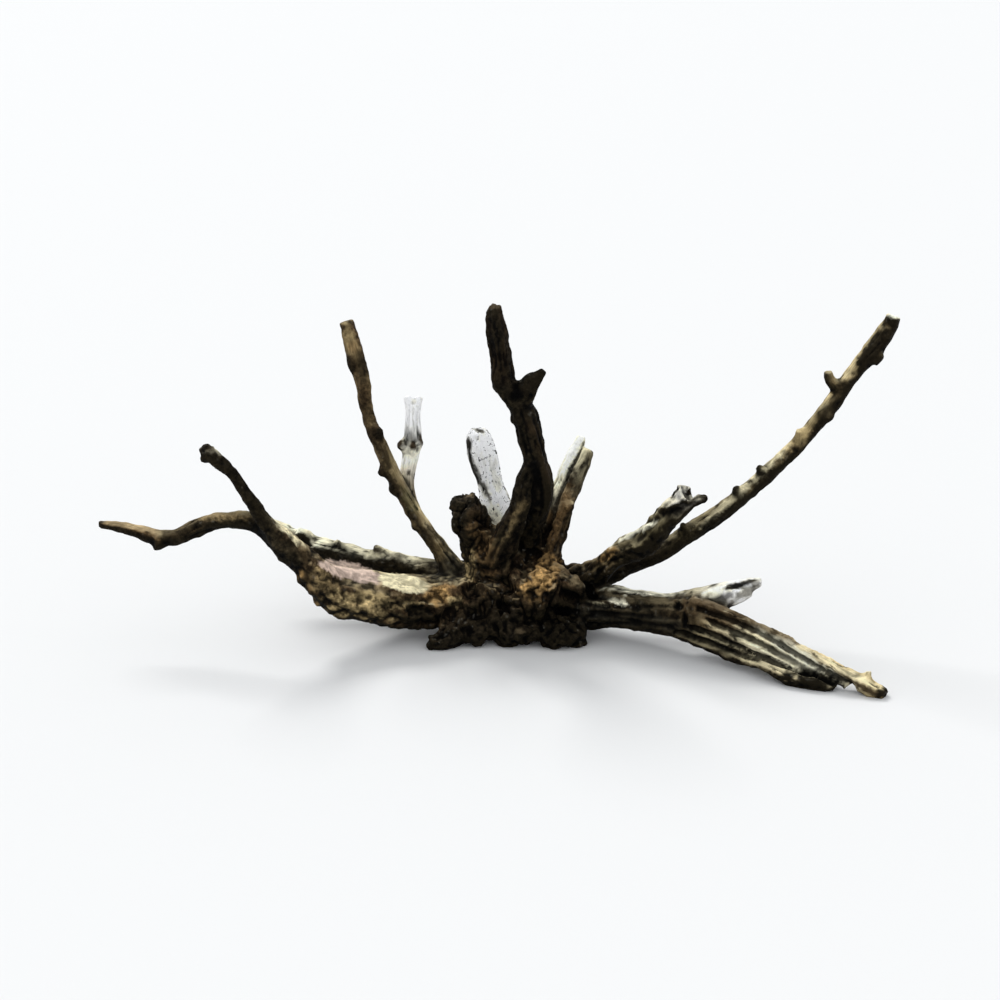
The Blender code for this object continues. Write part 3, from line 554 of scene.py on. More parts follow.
# What is left of the bark, and the finest wear, in metres. A pair of sizes is along and across the grain.
fineWear = {
    "limbApart": 0.37,  # how far the patterns of one limb lie from the next one's
    "rootTo": (0.08, 0.8),  # over which share of a limb its root's values turn into its end's
    "patchSize": 0.026,
    "patchReach": 0.85,
    "wornTop": (0.1, 0.9, 0.30),  # over how much turn upwards, and how far, bark is worn off
    "raggedReach": 0.45,
    "streakSize": (0.045, 0.0085),
    "raggedSize": 0.007,
    "patchEdge": 0.07,
    "patchSoft": 5,  # how much softer the edges are where bark isn't ragged
    "barkThickness": 0.0009,
    "ridgeSize": (0.017, 0.0052),
    "ridgeDepth": 0.0013,
    "crownRidgeSize": (0.026, 0.0052),  # down and across the crown
    "crownRidgeDepth": 0.0020,
    "crownWarp": (0.018, 0.0065),
    "crownBare": 0.35,  # share of the crown's ridges that shows where its bark is off
    "chipSize": (0.0085, 0.0058),
    "chipWarp": (1.3, 0.5),
    "chipEdge": 0.14,
    "chipDepth": 0.0008,
    "crackSize": (0.055, 0.0062),
    "crackWidth": 0.10,
    "crackDepth": 0.0012,
    "crackPatch": 0.03,
    "crackPatchEdge": (-0.05, 0.25),  # over which values of the noise a patch of cracks comes in
    "lineSize": (0.030, 0.0026),
    "lineDepth": 0.00032,
    "roughSize": 0.0034,
    "roughDepth": 0.00028,
    "roughBare": 0.4,  # share of the roughness that bare wood has
    "ridgeShares": (0.65, 0.35),  # of the coarse and the fine noise
    "ridgeFiner": 2.3,
    "ridgeLift": 0.4,  # how far into the hollows the fine noise reaches
    "ridgeDeepest": -0.5,
    "raggedClear": 0.6,  # how much less the streaks follow the grain where bark is ragged
}


def smoothStep(low, high, values):
    # 0 up to the low end and 1 from the high end on, also where the low end is the larger
    t = np.clip((values - low) / (high - low), 0, 1)
    return t * t * (3 - 2 * t)


def grainPlaces(found, size):
    # places measured along and across the grain, in units of this pair of sizes
    along, across = size
    return np.column_stack([
        (found["along"] + found["nearest"] * fineWear["limbApart"]) / along,
        found["radius"] * np.cos(found["turn"]) / across,
        found["radius"] * np.sin(found["turn"]) / across,
    ])


def ridgesAt(places):
    # sharp crests with round hollows between them, 0 to 1
    coarse = 1 - np.abs(noiseAt(places)) * 2
    fine = 1 - np.abs(noiseAt(places * fineWear["ridgeFiner"] + 17.0)) * 2
    coarseShare, fineShare = fineWear["ridgeShares"]
    lift = np.clip(coarse + fineWear["ridgeLift"], 0, 1)
    return np.clip(coarseShare * coarse + fineShare * fine * lift, fineWear["ridgeDeepest"], 1)


def warped(points, size, reach):
    # pushed about by noise of this size, at most this far
    return points + pushAt(points / size) * reach


def limbMix(found, rootValues, endValues):
    # values that run along each limb, mixed where limbs meet
    out = smoothStep(*fineWear["rootTo"], found["shares"])
    weights = found["weights"]
    return (weights * (1 - out)) @ np.asarray(rootValues) + (weights * out) @ np.asarray(endValues)


def coverOf(points, normals, found, limbs):
    # how much of the bark is left: ragged patches, worn off the tops first
    f = fineWear
    ends = np.array([[look[2] for look in looksOf(limb["name"])] for limb in limbs])
    bias = limbMix(found, ends[:, 0], ends[:, 1])
    ragged = mixedWear(found, limbs, "ragged")
    clear = np.clip(found["lead"] / driftwood["blend"], 0, 1) * (1 - f["raggedClear"] * ragged)
    streaks = noiseAt(grainPlaces(found, f["streakSize"]) + 31.0)
    wornFrom, wornTo, worn = f["wornTop"]
    blotches = noiseAt(points / f["patchSize"] + 31.0)
    field = (
        bias - worn * smoothStep(wornFrom, wornTo, normals[:, 2])
        + f["patchReach"] * (blotches * (1 - clear) + streaks * clear)
        + f["raggedReach"] * ragged * noiseAt(points / f["raggedSize"] + 5.0)
    )
    edge = f["patchEdge"] * (1 + f["patchSoft"] * (1 - ragged))
    return smoothStep(-edge, edge, field)


def carveFine(obj, limbs):
    # patches of bark that stand proud of the bare wood, ridged and chipped, and the wood's cracks and lines
    points, normals, f = pointsOf(obj), normalsOf(obj), fineWear
    found = surveyPoints(points, limbs)
    clear = np.clip(found["lead"] / driftwood["blend"], 0, 1)
    clear *= 1 - mixedWear(found, limbs, "bark") / wear["burl"]["bark"]
    cover = coverOf(points, normals, found, limbs)
    ridges = ridgesAt(grainPlaces(found, f["ridgeSize"]))
    down, across = f["crownRidgeSize"]
    crownRidges = ridgesAt(warped(points, *f["crownWarp"]) / (across, across, down))
    edges = plateEdgesAt(warped(grainPlaces(found, f["chipSize"]), *f["chipWarp"]))
    chips = np.clip(1 - edges / f["chipEdge"], 0, 1)
    cracks = np.clip(1 - np.abs(noiseAt(grainPlaces(found, f["crackSize"]) + 3.0)) / f["crackWidth"], 0, 1)
    cracks *= smoothStep(*f["crackPatchEdge"], noiseAt(points / f["crackPatch"] + 80.0))
    lines = noiseAt(grainPlaces(found, f["lineSize"]) + 9.0)
    rough = mixedWear(found, limbs, "rough")
    bare, plain = f["crownBare"], f["roughBare"]
    height = (
        cover * rough * f["barkThickness"]
        + cover * rough * clear * (ridges * f["ridgeDepth"] - chips * f["chipDepth"])
        + (1 - clear) * (bare + (1 - bare) * cover) * rough * crownRidges * f["crownRidgeDepth"]
        + (1 - cover) * clear * (lines * f["lineDepth"] - cracks * f["crackDepth"])
        + noiseAt(points / f["roughSize"]) * f["roughDepth"] * (plain + (1 - plain) * cover)
    )
    height = (height - height.mean()).round(driftwood["decimals"])
    movePoints(obj, points + normals * height[:, None])


def wearFeetFlat(obj):
    # all that reaches the ground ends in one plane
    points = pointsOf(obj)
    floor = driftwood["flatAboveGround"]
    points[points[:, 2] < floor + driftwood["flatCatch"], 2] = floor
    movePoints(obj, points)


def makeDriftwood():
    limbs, parts = [], []
    bpy.ops.object.select_all(action="DESELECT")
    routes = [(name, kind, readings) for name, (kind, readings) in limbRoutes.items()]
    routes += [(name, "twig", readings) for name, readings in twigRoutes.items()]
    for name, kind, readings in routes:
        rows = smoothLine(readings)
        parts.append(addTube(name, rows))
        limbs.append(makeLimb(name, kind, rows))
    for name, (middle, radii) in crownLumps.items():
        place, larger = placedAt(*middle)
        scaled = [radius * driftwood["overallWidth"] / driftwood["widthUnits"] * larger for radius in radii]
        bpy.ops.mesh.primitive_ico_sphere_add(
            subdivisions=driftwood["lumpSubdivisions"], radius=1.0, location=place, scale=scaled
        )
        parts.append(bpy.context.object)
        top = place + Vector((0, 0, driftwood["lumpCore"]))
        rows = np.array([(*place, min(scaled)), (*top, min(scaled))])
        limbs.append(makeLimb(name, "burl", rows))
    bpy.ops.object.select_all(action="DESELECT")
    for part in parts:
        part.select_set(True)
    bpy.context.view_layer.objects.active = parts[0]
    bpy.ops.object.convert(target="MESH")
    bpy.ops.object.join()
    wood = bpy.context.object
    wood.name = "driftwood_wood"
    bpy.ops.object.transform_apply(location=True, rotation=True, scale=True)
    applyModifier(wood, "REMESH", mode="VOXEL", voxel_size=driftwood["formVoxel"])
    applyModifier(wood, "SMOOTH", factor=driftwood["filletFactor"], iterations=driftwood["filletPasses"])
    print("plain form", len(wood.data.vertices))
    carveForm(wood, limbs)
    applyModifier(wood, "REMESH", mode="VOXEL", voxel_size=driftwood["carvedVoxel"])
    print("carved form", len(wood.data.vertices))
    carveFine(wood, limbs)
    wearFeetFlat(wood)
    triangles = 2 * len(wood.data.polygons)
    if triangles > driftwood["mostTriangles"]:
        applyModifier(wood, "DECIMATE", ratio=driftwood["mostTriangles"] / triangles)
        wearFeetFlat(wood)
    print("fine wear", len(wood.data.vertices))
    return wood, limbs


# Colours by name. A limb's look is bare wood, bark, how much bark is left and how far up its side the
# painted shade of the underside reaches, from -1 (not at all) to 1, first at its root and then at its end,
# or one for both.
palette = {
    "ivory": "e6e2c9", "silver": "ebebe8", "cream": "cfc5a2", "pink": "bba698", "straw": "a8946a",
    "tan": "8f7b57", "gold": "ab8856", "ochre": "7f6340", "olive": "645b41", "drab": "544c3a",
    "brown": "58452f", "bark": "3e2f20", "umber": "2b2319", "moss": "35381f", "slate": "3c3a32",
    "grey": "918e83", "char": "181511", "black": "070605", "ash": "77746b",
}
looks = {
    "leftSweep": (("tan", "brown", 0.2, -0.4), ("ochre", "bark", 0.2, -0.4)),
    "leftSweepMiddle": (("straw", "brown", -0.2, -0.5), ("tan", "brown", -0.2, -0.5)),
    "leftSweepBack": ("tan", "brown", -0.1, -0.4),
    "leftRise": (("drab", "umber", 0.2, -0.1), ("umber", "char", 0.3, 0.1)),
    "leftRiseKnuckle": ("grey", "umber", 0.1, -0.1),
    "leftReach": (("olive", "umber", 0.1, 0.15), ("ochre", "umber", 0.1, 0.05)),
    "rearLeft": (("drab", "char", 0.3, 0.55), ("ivory", "umber", -0.3, 0.5)),
    "tallLeft": (("tan", "umber", 0.0, -0.5), ("tan", "brown", 0.0, -0.6)),
    "paleTwin": (("straw", "umber", -0.2, -0.5), ("silver", "umber", -0.9, -1.0)),
    "knob": (("brown", "char", 0.4, -0.2), ("brown", "char", 0.5, -0.2)),
    "palePlank": (("ivory", "umber", -0.4, -1.0), ("silver", "umber", -0.9, -1.0)),
    "spire": (("bark", "char", 0.1, 0.0), ("bark", "char", 0.1, -0.4)),
    "spireSpur": ("char", "black", 0.3, -0.3),
    "spireButtress": (("olive", "bark", 0.0, -0.3), ("umber", "char", 0.2, -0.2)),
    "splitStubLeft": (("brown", "bark", 0.4, -0.4), ("ivory", "bark", -0.7, -0.9)),
    "splitStubRight": (("brown", "bark", 0.4, -0.4), ("olive", "umber", 0.0, -0.5)),
    "rightStub": (("brown", "umber", 0.1, 0.0), ("olive", "umber", 0.0, 0.1)),
    "rightStubBurl": ("silver", "char", 0.1, -0.3),
    "rightThorn": (("olive", "umber", 0.1, 0.1), ("drab", "char", 0.2, 0.2)),
    "longRight": (("drab", "umber", 0.1, 0.2), ("straw", "bark", -0.2, 0.3)),
    "rootTrunk": (("drab", "umber", 0.1, -0.1), ("brown", "umber", 0.1, -0.3)),
    "rootWeb": (("ochre", "bark", -0.2, -0.9), ("tan", "bark", -0.3, -0.9)),
    "strand": (("tan", "bark", -0.3, -0.9), ("ivory", "brown", -0.7, -0.9)),
    "strandRail": (("brown", "umber", -0.1, -0.6), ("straw", "bark", -0.3, -0.8)),
    "strandFourth": (("olive", "umber", -0.1, -0.5), ("cream", "umber", -0.6, -0.5)),
    "strandRim": (("drab", "umber", 0.1, -0.2), ("tan", "umber", -0.3, 0.1)),
    "rootProng": (("olive", "umber", -0.2, -0.5), ("silver", "umber", -0.8, -0.8)),
    "crown": ("ochre", "bark", 0.4, -0.3),
    "saddle": ("ochre", "bark", 0.3, -0.4),
    "brow": ("ochre", "bark", 0.2, -0.3),
    "cheek": ("ochre", "bark", 0.2, -0.3),
    "chin": ("brown", "umber", 0.3, 0.0),
    "throat": ("umber", "char", 0.3, 0.2),
    "elbow": ("ochre", "bark", 0.1, -0.1),
    "toe": ("bark", "char", 0.4, 0.0),
    "foot": ("bark", "umber", 0.4, 0.0),
    "shin": ("bark", "umber", 0.4, 0.0),
    "knotLongRight": ("umber", "char", 0.1, 0.0),
    "knotLongRightA": (("straw", "bark", -0.3, -0.6), ("straw", "bark", -0.2, -0.6)),
    "knotLongRightG": (("straw", "bark", -0.3, -0.6), ("straw", "bark", -0.2, -0.6)),
    "stubOnLongRight": ("tan", "umber", -0.1, -0.1),
    "twigRearLeft": (("drab", "umber", 0.0, 0.5), ("drab", "umber", 0.0, 0.0)),
    "bumpRearLeft": ("ivory", "umber", 0.0, 0.1),
    "collarTallLeft": ("bark", "char", 0.3, 0.0),
    "knotTallLeft": ("bark", "char", 0.3, 0.0),
    "twigPaleTwin": (("ivory", "tan", -0.5, -0.6), ("umber", "char", 0.2, 0.0)),
    "hornPaleTwin": ("silver", "umber", -0.9, -1.0),
    "knotLeft": ("umber", "char", 0.3, 0.0),
    "nubRootTip": ("cream", "tan", -0.6, -0.6),
    "barkSpurSplitStub": ("tan", "bark", 0.3, -0.2),
    "knotSpire": ("char", "char", 0.3, 0.0),
}

# Patches of other colour on what faces the front, some of them painted shade and painted highlights: middle
# and half lengths in the front view's units, how many degrees the first half length is turned downwards to
# the right, the colour and how strong it is.
patches = {
    "reachTip": ((100.5, 523.5), (3, 5), 0, "umber", 0.9),
    "reachMiddle": ((180, 534), (24, 9), -15, "umber", 0.65),
    "reachBump": ((156, 545), (9, 7), 0, "umber", 0.8),
    # painted light on the top of the reach, and painted shade under it
    "reachTopLight": ((222, 516), (27, 6), 4, "tan", 0.7),
    "reachUnderShade": ((228, 528), (24, 3.6), 0, "black", 0.85),
    "riseShaft": ((239, 490), (30, 8), 51, "black", 0.9),
    "forkSide": ((275, 545), (28, 12), 45, "drab", 0.5),
    "forkEdge": ((291, 534), (20, 3.5), 43, "cream", 0.7),
    "forkSpot": ((300, 574), (4, 4), 0, "gold", 0.7),
    "rearShade": ((368, 561.5), (56, 5.5), 11, "black", 0.9),
    "bend": ((324, 585), (19, 15), 50, "tan", 0.85),
    "platePink": ((352, 572), (34, 8.5), 15, "pink", 0.97),
    "plateCream": ((405, 583), (26, 9), 12, "cream", 0.97),
    "sweepTop": ((374, 600), (46, 8), 8, "straw", 0.85),
    "sweepLow": ((358, 612), (44, 7), 8, "straw", 0.7),
    # painted shade under the sweep
    "sweepUnderShade": ((420, 616), (18, 9), 10, "char", 0.85),
    "flankGold": ((443, 596), (17, 12), 10, "gold", 0.85),
    "flankRust": ((457, 601), (8, 6), 30, "straw", 0.8),
    # painted shade in the hollow at the crown's left
    "crownLeftShade": ((480, 606), (23, 19), 0, "umber", 0.75),
    "columnLit": ((470, 566), (8, 18), 0, "straw", 0.75),
    "columnBrown": ((486, 558), (12, 26), 0, "ochre", 0.6),
    "knobEdge": ((460, 500), (15, 9), -40, "char", 0.7),
    "knobNeck": ((477, 532), (9, 13), -25, "ochre", 0.6),
    "knobFront": ((472, 515), (9, 10), 0, "brown", 0.6),
    # painted highlight on the buttress's ridge, and painted shade in the hollow beside it
    "buttressHighlight": ((515, 520), (22, 5), -61, "tan", 0.8),
    "spireHollowShade": ((534, 533), (12, 25), 12, "black", 0.93),
    "spireFoot": ((549, 498), (7, 17), 0, "black", 0.8),
    "stubBase": ((556, 530), (9, 24), 5, "ochre", 0.6),
    "stubMiddle": ((565, 502), (8, 17), 20, "ochre", 0.6),
    "flankTan": ((452, 600), (9, 6.5), 20, "straw", 0.85),
    "browGold": ((544, 573), (14, 20), 20, "gold", 0.7),
    "browRust": ((536, 588), (13, 14), 20, "gold", 0.97),
    "chinFront": ((536, 602), (15, 11), 0, "brown", 0.6),
    # painted shade under the chin
    "chinUnderShade": ((534, 620), (20, 7), 0, "black", 0.8),
    "rightShade": ((563, 628), (27, 22), 0, "black", 0.95),
    "spurTop": ((573, 582), (15, 4), 28, "drab", 0.6),
    # painted shade in the cleft at the crown's right
    "cleftShade": ((591, 596), (13, 8), -20, "black", 0.9),
    "rightRoot": ((577, 569), (13, 7), 0, "drab", 0.45),
    "railSide": ((862, 687), (19, 4), 30, "brown", 0.7),
    "webLit": ((790, 649), (40, 6), 32, "ivory", 0.9),
    "trunkMiddle": ((664, 601), (30, 8), 7, "drab", 0.6),
    # painted highlights on the crests of the strands and on the rail's top
    "ridgeUpperHighlight": ((802, 656), (40, 2.6), 29, "ivory", 0.7),
    "ridgeLowerHighlight": ((777, 652.5), (42, 2.8), 25, "ivory", 0.75),
    "railTopHighlight": ((838, 661), (42, 3.5), 28, "straw", 0.6),
    # painted highlight along the top of the long limb
    "longTopHighlight": ((745, 487), (60, 4.4), -43, "cream", 0.75),
    "longBrown": ((834, 404), (30, 7), -53, "umber", 0.8),
    "longEnd": ((873, 350), (34, 10), -57, "char", 0.92),
    "longCap": ((893, 316), (6, 3), 10, "ivory", 0.8),
    "knotB": ((759, 468), (3, 3), 0, "char", 0.9),
    "knotC": ((736, 488), (3.6, 4), 0, "char", 0.9),
    "knotD": ((749, 481), (2.4, 2.4), 0, "char", 0.8),
    "knotE": ((682.5, 525), (3, 3), 0, "char", 0.8),
    "stubSide": ((606, 564), (16, 7), -40, "tan", 0.6),
    "stubFlank": ((607, 556), (14, 5), -40, "gold", 0.8),
    # painted highlight on the stub's top edge, and painted shade under it
    "stubTopHighlight": ((636, 532), (24, 3), -28, "ivory", 0.85),
    "stubUnderShade": ((650, 545), (22, 7), -35, "black", 0.85),
    "longShade": ((640, 563), (46, 10), -28, "char", 0.75),
    "longMoss": ((683, 538), (18, 7), -35, "olive", 0.5),
    "trunkStart": ((594, 616), (19, 14), 0, "slate", 0.85),
    # painted highlight along the top of the trunk
    "trunkTopHighlight": ((648, 590.5), (44, 4.6), 4, "ivory", 0.85),
    "prongBase": ((716, 592), (17, 5), -14, "ivory", 0.85),
    # painted shade under the rim
    "rimUnderShade": ((810, 685), (28, 4.5), 15, "black", 0.95),
    "strandLit": ((757, 641), (24, 5), 28, "cream", 0.7),
    "tallTop": ((348, 334), (6, 15), -12, "straw", 0.6),
    "tallMiddle": ((392, 466), (6, 17), -25, "straw", 0.45),
    "longMiddle": ((800, 437), (20, 5), -47, "straw", 0.85),
    # painted highlights on ridges at the trunk's top
    "trunkRidgeHighlightB": ((617, 601.5), (11, 3), 20, "ivory", 0.6),
    "trunkRidgeHighlightC": ((601, 604), (9, 1.6), 10, "cream", 0.7),
    "railBrown": ((868, 690), (16, 4.5), 27, "bark", 0.75),
    "plankEdgeLow": ((484, 488), (3, 16), -25, "black", 0.85),
    "plankTop": ((479, 430.5), (7, 2), 15, "black", 0.85),
    "cutEdge": ((350, 322), (5, 1.6), 5, "char", 0.7),
    "trunkLow": ((648, 623), (46, 9), 8, "slate", 0.8),
    "trunkEye": ((678, 606), (4.5, 5.5), 0, "black", 0.95),
    "trunkCrack": ((685, 621), (2.8, 10), 0, "black", 0.9),
    "trunkBrown": ((714, 611), (40, 13), 20, "brown", 0.75),
    "rootUpper": ((768, 627), (40, 6), 30, "brown", 0.6),
    # painted shade in the cavity between the strands
    "rootCavityShade": ((814, 680), (26, 7.5), 12, "black", 0.95),
    "railEnd": ((884, 694), (6.5, 7), 0, "black", 0.95),
    "prongLow": ((744, 593), (17, 5), -22, "ash", 0.9),
    # painted shade in the prong's groove
    "prongGrooveShade": ((740, 584.5), (18, 3.0), -17, "char", 0.93),
    "prongEnd": ((757, 583), (6, 4), 0, "drab", 0.6),
    "collar": ((380, 435), (5, 7), 0, "char", 0.85),
    "collarStripe": ((384, 452), (3.5, 14), -20, "bark", 0.7),
    "tallRust": ((352, 346), (4, 6), 0, "ochre", 0.5),
    "tallShade": ((363, 370), (4.5, 16), -8, "umber", 0.6),
    "tallMoss": ((410, 502), (6, 18), -28, "moss", 0.6),
    "tallFoot": ((447, 568), (17, 14), 0, "slate", 0.75),
    "twinKnot": ((413, 445), (3.2, 5.6), 0, "bark", 0.95),
    "twinKnotLeft": ((398.5, 443.5), (3.6, 4), 0, "bark", 0.92),
    "twinKnotRight": ((422.5, 438), (3.5, 5), 0, "bark", 0.92),
    "plankEdge": ((470.5, 457), (3.4, 26), -12, "black", 0.95),
    "slab": ((569, 457), (25, 5.5), -57, "ivory", 0.95),
}
# Patches that are smooth and clean: no bark, flecks, mottling, or painted shade in hollows, at the sides or
# below show in them.
calmPatches = ("platePink", "plateCream", "prongBase", "slab")

tinting = {
    "unevenUp": (0.28, 0.010),  # how unevenly upward faces take their colour, and over what size
    "bleachAndLightTurn": (0.1, 0.85),  # how far a face must look up to be lighter, both bleached and painted light from above, and to be fully so
    "bleachAndLight": 0.40,
    "bleachAndLightLess": (5, 0.15, 1),  # darker wood is lightened less
    "bleachAndLightOnBark": 0.8,
    "bleachAndLightColour": "d2c9a4",
    "paintedUnderShadeEdge": 0.22,  # over how much turn the painted shade of the underside comes in
    # how dark the painted shade of the undersides is
    "underDark": 0.97,
    "paintedSideShade": 0.35,  # painted shade: how much darker than the upper faces the upright ones are
    "paintedSideShadeTurn": (0.75, -0.1),
    "contrast": 0.45,
    "contrastMiddle": 0.55,
    "contrastEnds": (0.045, 1.2),
    # painted highlight added on the crests
    "paintedCrestHighlight": 0.026,
    "patchRagged": 0.55,
    "patchTurn": (-0.1, 0.15),  # over how much turn away from the front the patches end
    "patchEdge": (1.25, 0.65),
    "calmEdge": (1.06, 0.94),
    "calmRagged": 0.3,
    "raggedSizes": (0.0035, 0.009),
    "mottle": 0.60,
    "mottleSize": 0.019,
    "hollowPasses": (3, 16),  # passes of smoothing that show the near and the wide hollows
    "hollowShares": (2.2, 0.9),
    "hollowFull": 0.0009,
    # painted shade in the hollows and painted light on the crests
    "paintedHollowShade": 0.70,
    "paintedCrestLight": 0.50,
    "calm": 0.65,  # how much less of the painted shade in the hollows, and of the dark flecks, quite bare, pale limbs have
    "calmFrom": (-0.5, -0.8),
    "calmGrain": 0.75,  # how much less of the grain shows in the calm patches
    "fleckSize": (0.008, 0.0032),
    "fleckEdge": (0.34, 0.44),
    "fleckDark": 0.75,
    "lichenSize": 0.0021,
    "lichenEdge": (0.42, 0.50),
    "lichenPatch": 0.016,
    "lichenPatchEdge": (-0.1, 0.3),
    "lichenDark": (0.16, 0.05),  # lichen shows on dark wood alone
    "lichenTurn": (-0.3, 0.3),
    "lichen": 0.18,
    "backGrey": 0.75,  # how grey the backs of the pale limbs are
    "backTurn": (0.1, -0.4),
    "backFrom": (-0.45, -0.8),
    "clearFrom": 0.006,
    "flecks": 0.55,  # how thick the plank's fine black flecks lie on its face and at its edges
    "edgeFlecks": 0.45,
    "edgeTurn": (0.8, 0.2),
    "edgeEnd": (-0.5, 0.0),
}


def colourOf(code):
    # the linear colour of a code of six hexadecimal digits
    shown = np.array([int(code[i:i + 2], 16) / 255 for i in (0, 2, 4)])
    return np.where(shown > 0.04045, ((shown + 0.055) / 1.055) ** 2.4, shown / 12.92)


def looksOf(name):
    # at either end, the looks whose name the limb's own begins with, the longest such
    look = looks[max((key for key in looks if name.startswith(key)), key=len)]
    return look if isinstance(look[0], tuple) else (look, look)


def neighbourMean(values, edges, counts):
    # the mean of each point's neighbours along the edges
    total = np.stack([
        np.bincount(edges.ravel(), weights=values[edges[:, ::-1].ravel(), axis], minlength=len(values))
        for axis in range(values.shape[1])
    ], axis=1)
    return total / counts[:, None]


def hollowsOf(obj, passes):
    # how far each point lies below (positive) or above the smoothed surface, after each of these many passes
    points, normals = pointsOf(obj), normalsOf(obj)
    edges = np.empty(len(obj.data.edges) * 2, dtype=np.int64)
    obj.data.edges.foreach_get("vertices", edges)
    edges = edges.reshape(-1, 2)
    counts = np.maximum(np.bincount(edges.ravel(), minlength=len(points)), 1)
    smoothed, found = points, []
    for done in range(1, max(passes) + 1):
        smoothed = neighbourMean(smoothed, edges, counts)
        if done in passes:
            found.append(((smoothed - points) * normals).sum(axis=1))
    return found


def addAttribute(obj, name, kind, values):
    attribute = obj.data.attributes.new(name, kind, "POINT")
    key = {"FLOAT": "value", "FLOAT_VECTOR": "vector", "FLOAT_COLOR": "color"}[kind]
    attribute.data.foreach_set(key, np.asarray(values, dtype=np.float32).ravel())


def facingOf(normals):
    # 1 where the surface looks straight to the front view, -1 where it looks away
    return normals @ np.array((0, -math.cos(driftwood["viewTilt"]), math.sin(driftwood["viewTilt"])))


def paintPatches(colour, points, normals):
    # lays the patches over the colour, some of them painted shade and painted highlights, with ragged edges,
    # on what faces the front
    t = tinting
    across, down = frontView(points)
    fine, coarse = (noiseAt(points / size + 60.0) for size in t["raggedSizes"])
    ragged = t["patchRagged"] * (fine + coarse)
    facing, calm = smoothStep(*t["patchTurn"], facingOf(normals)), 0
    for patchName, (middle, halves, turned, name, strength) in patches.items():
        cosine, sine = math.cos(math.radians(turned)), math.sin(math.radians(turned))
        x, y = across - middle[0], down - middle[1]
        reach = np.hypot((x * cosine + y * sine) / halves[0], (y * cosine - x * sine) / halves[1])
        edge, uneven = (t["calmEdge"], t["calmRagged"]) if patchName in calmPatches else (t["patchEdge"], 1)
        share = smoothStep(*edge, reach + ragged * uneven) * facing * strength
        colour = colour + (colourOf(palette[name]) - colour) * share[:, None]
        if patchName in calmPatches:
            calm = np.maximum(calm, share)
    return colour, calm


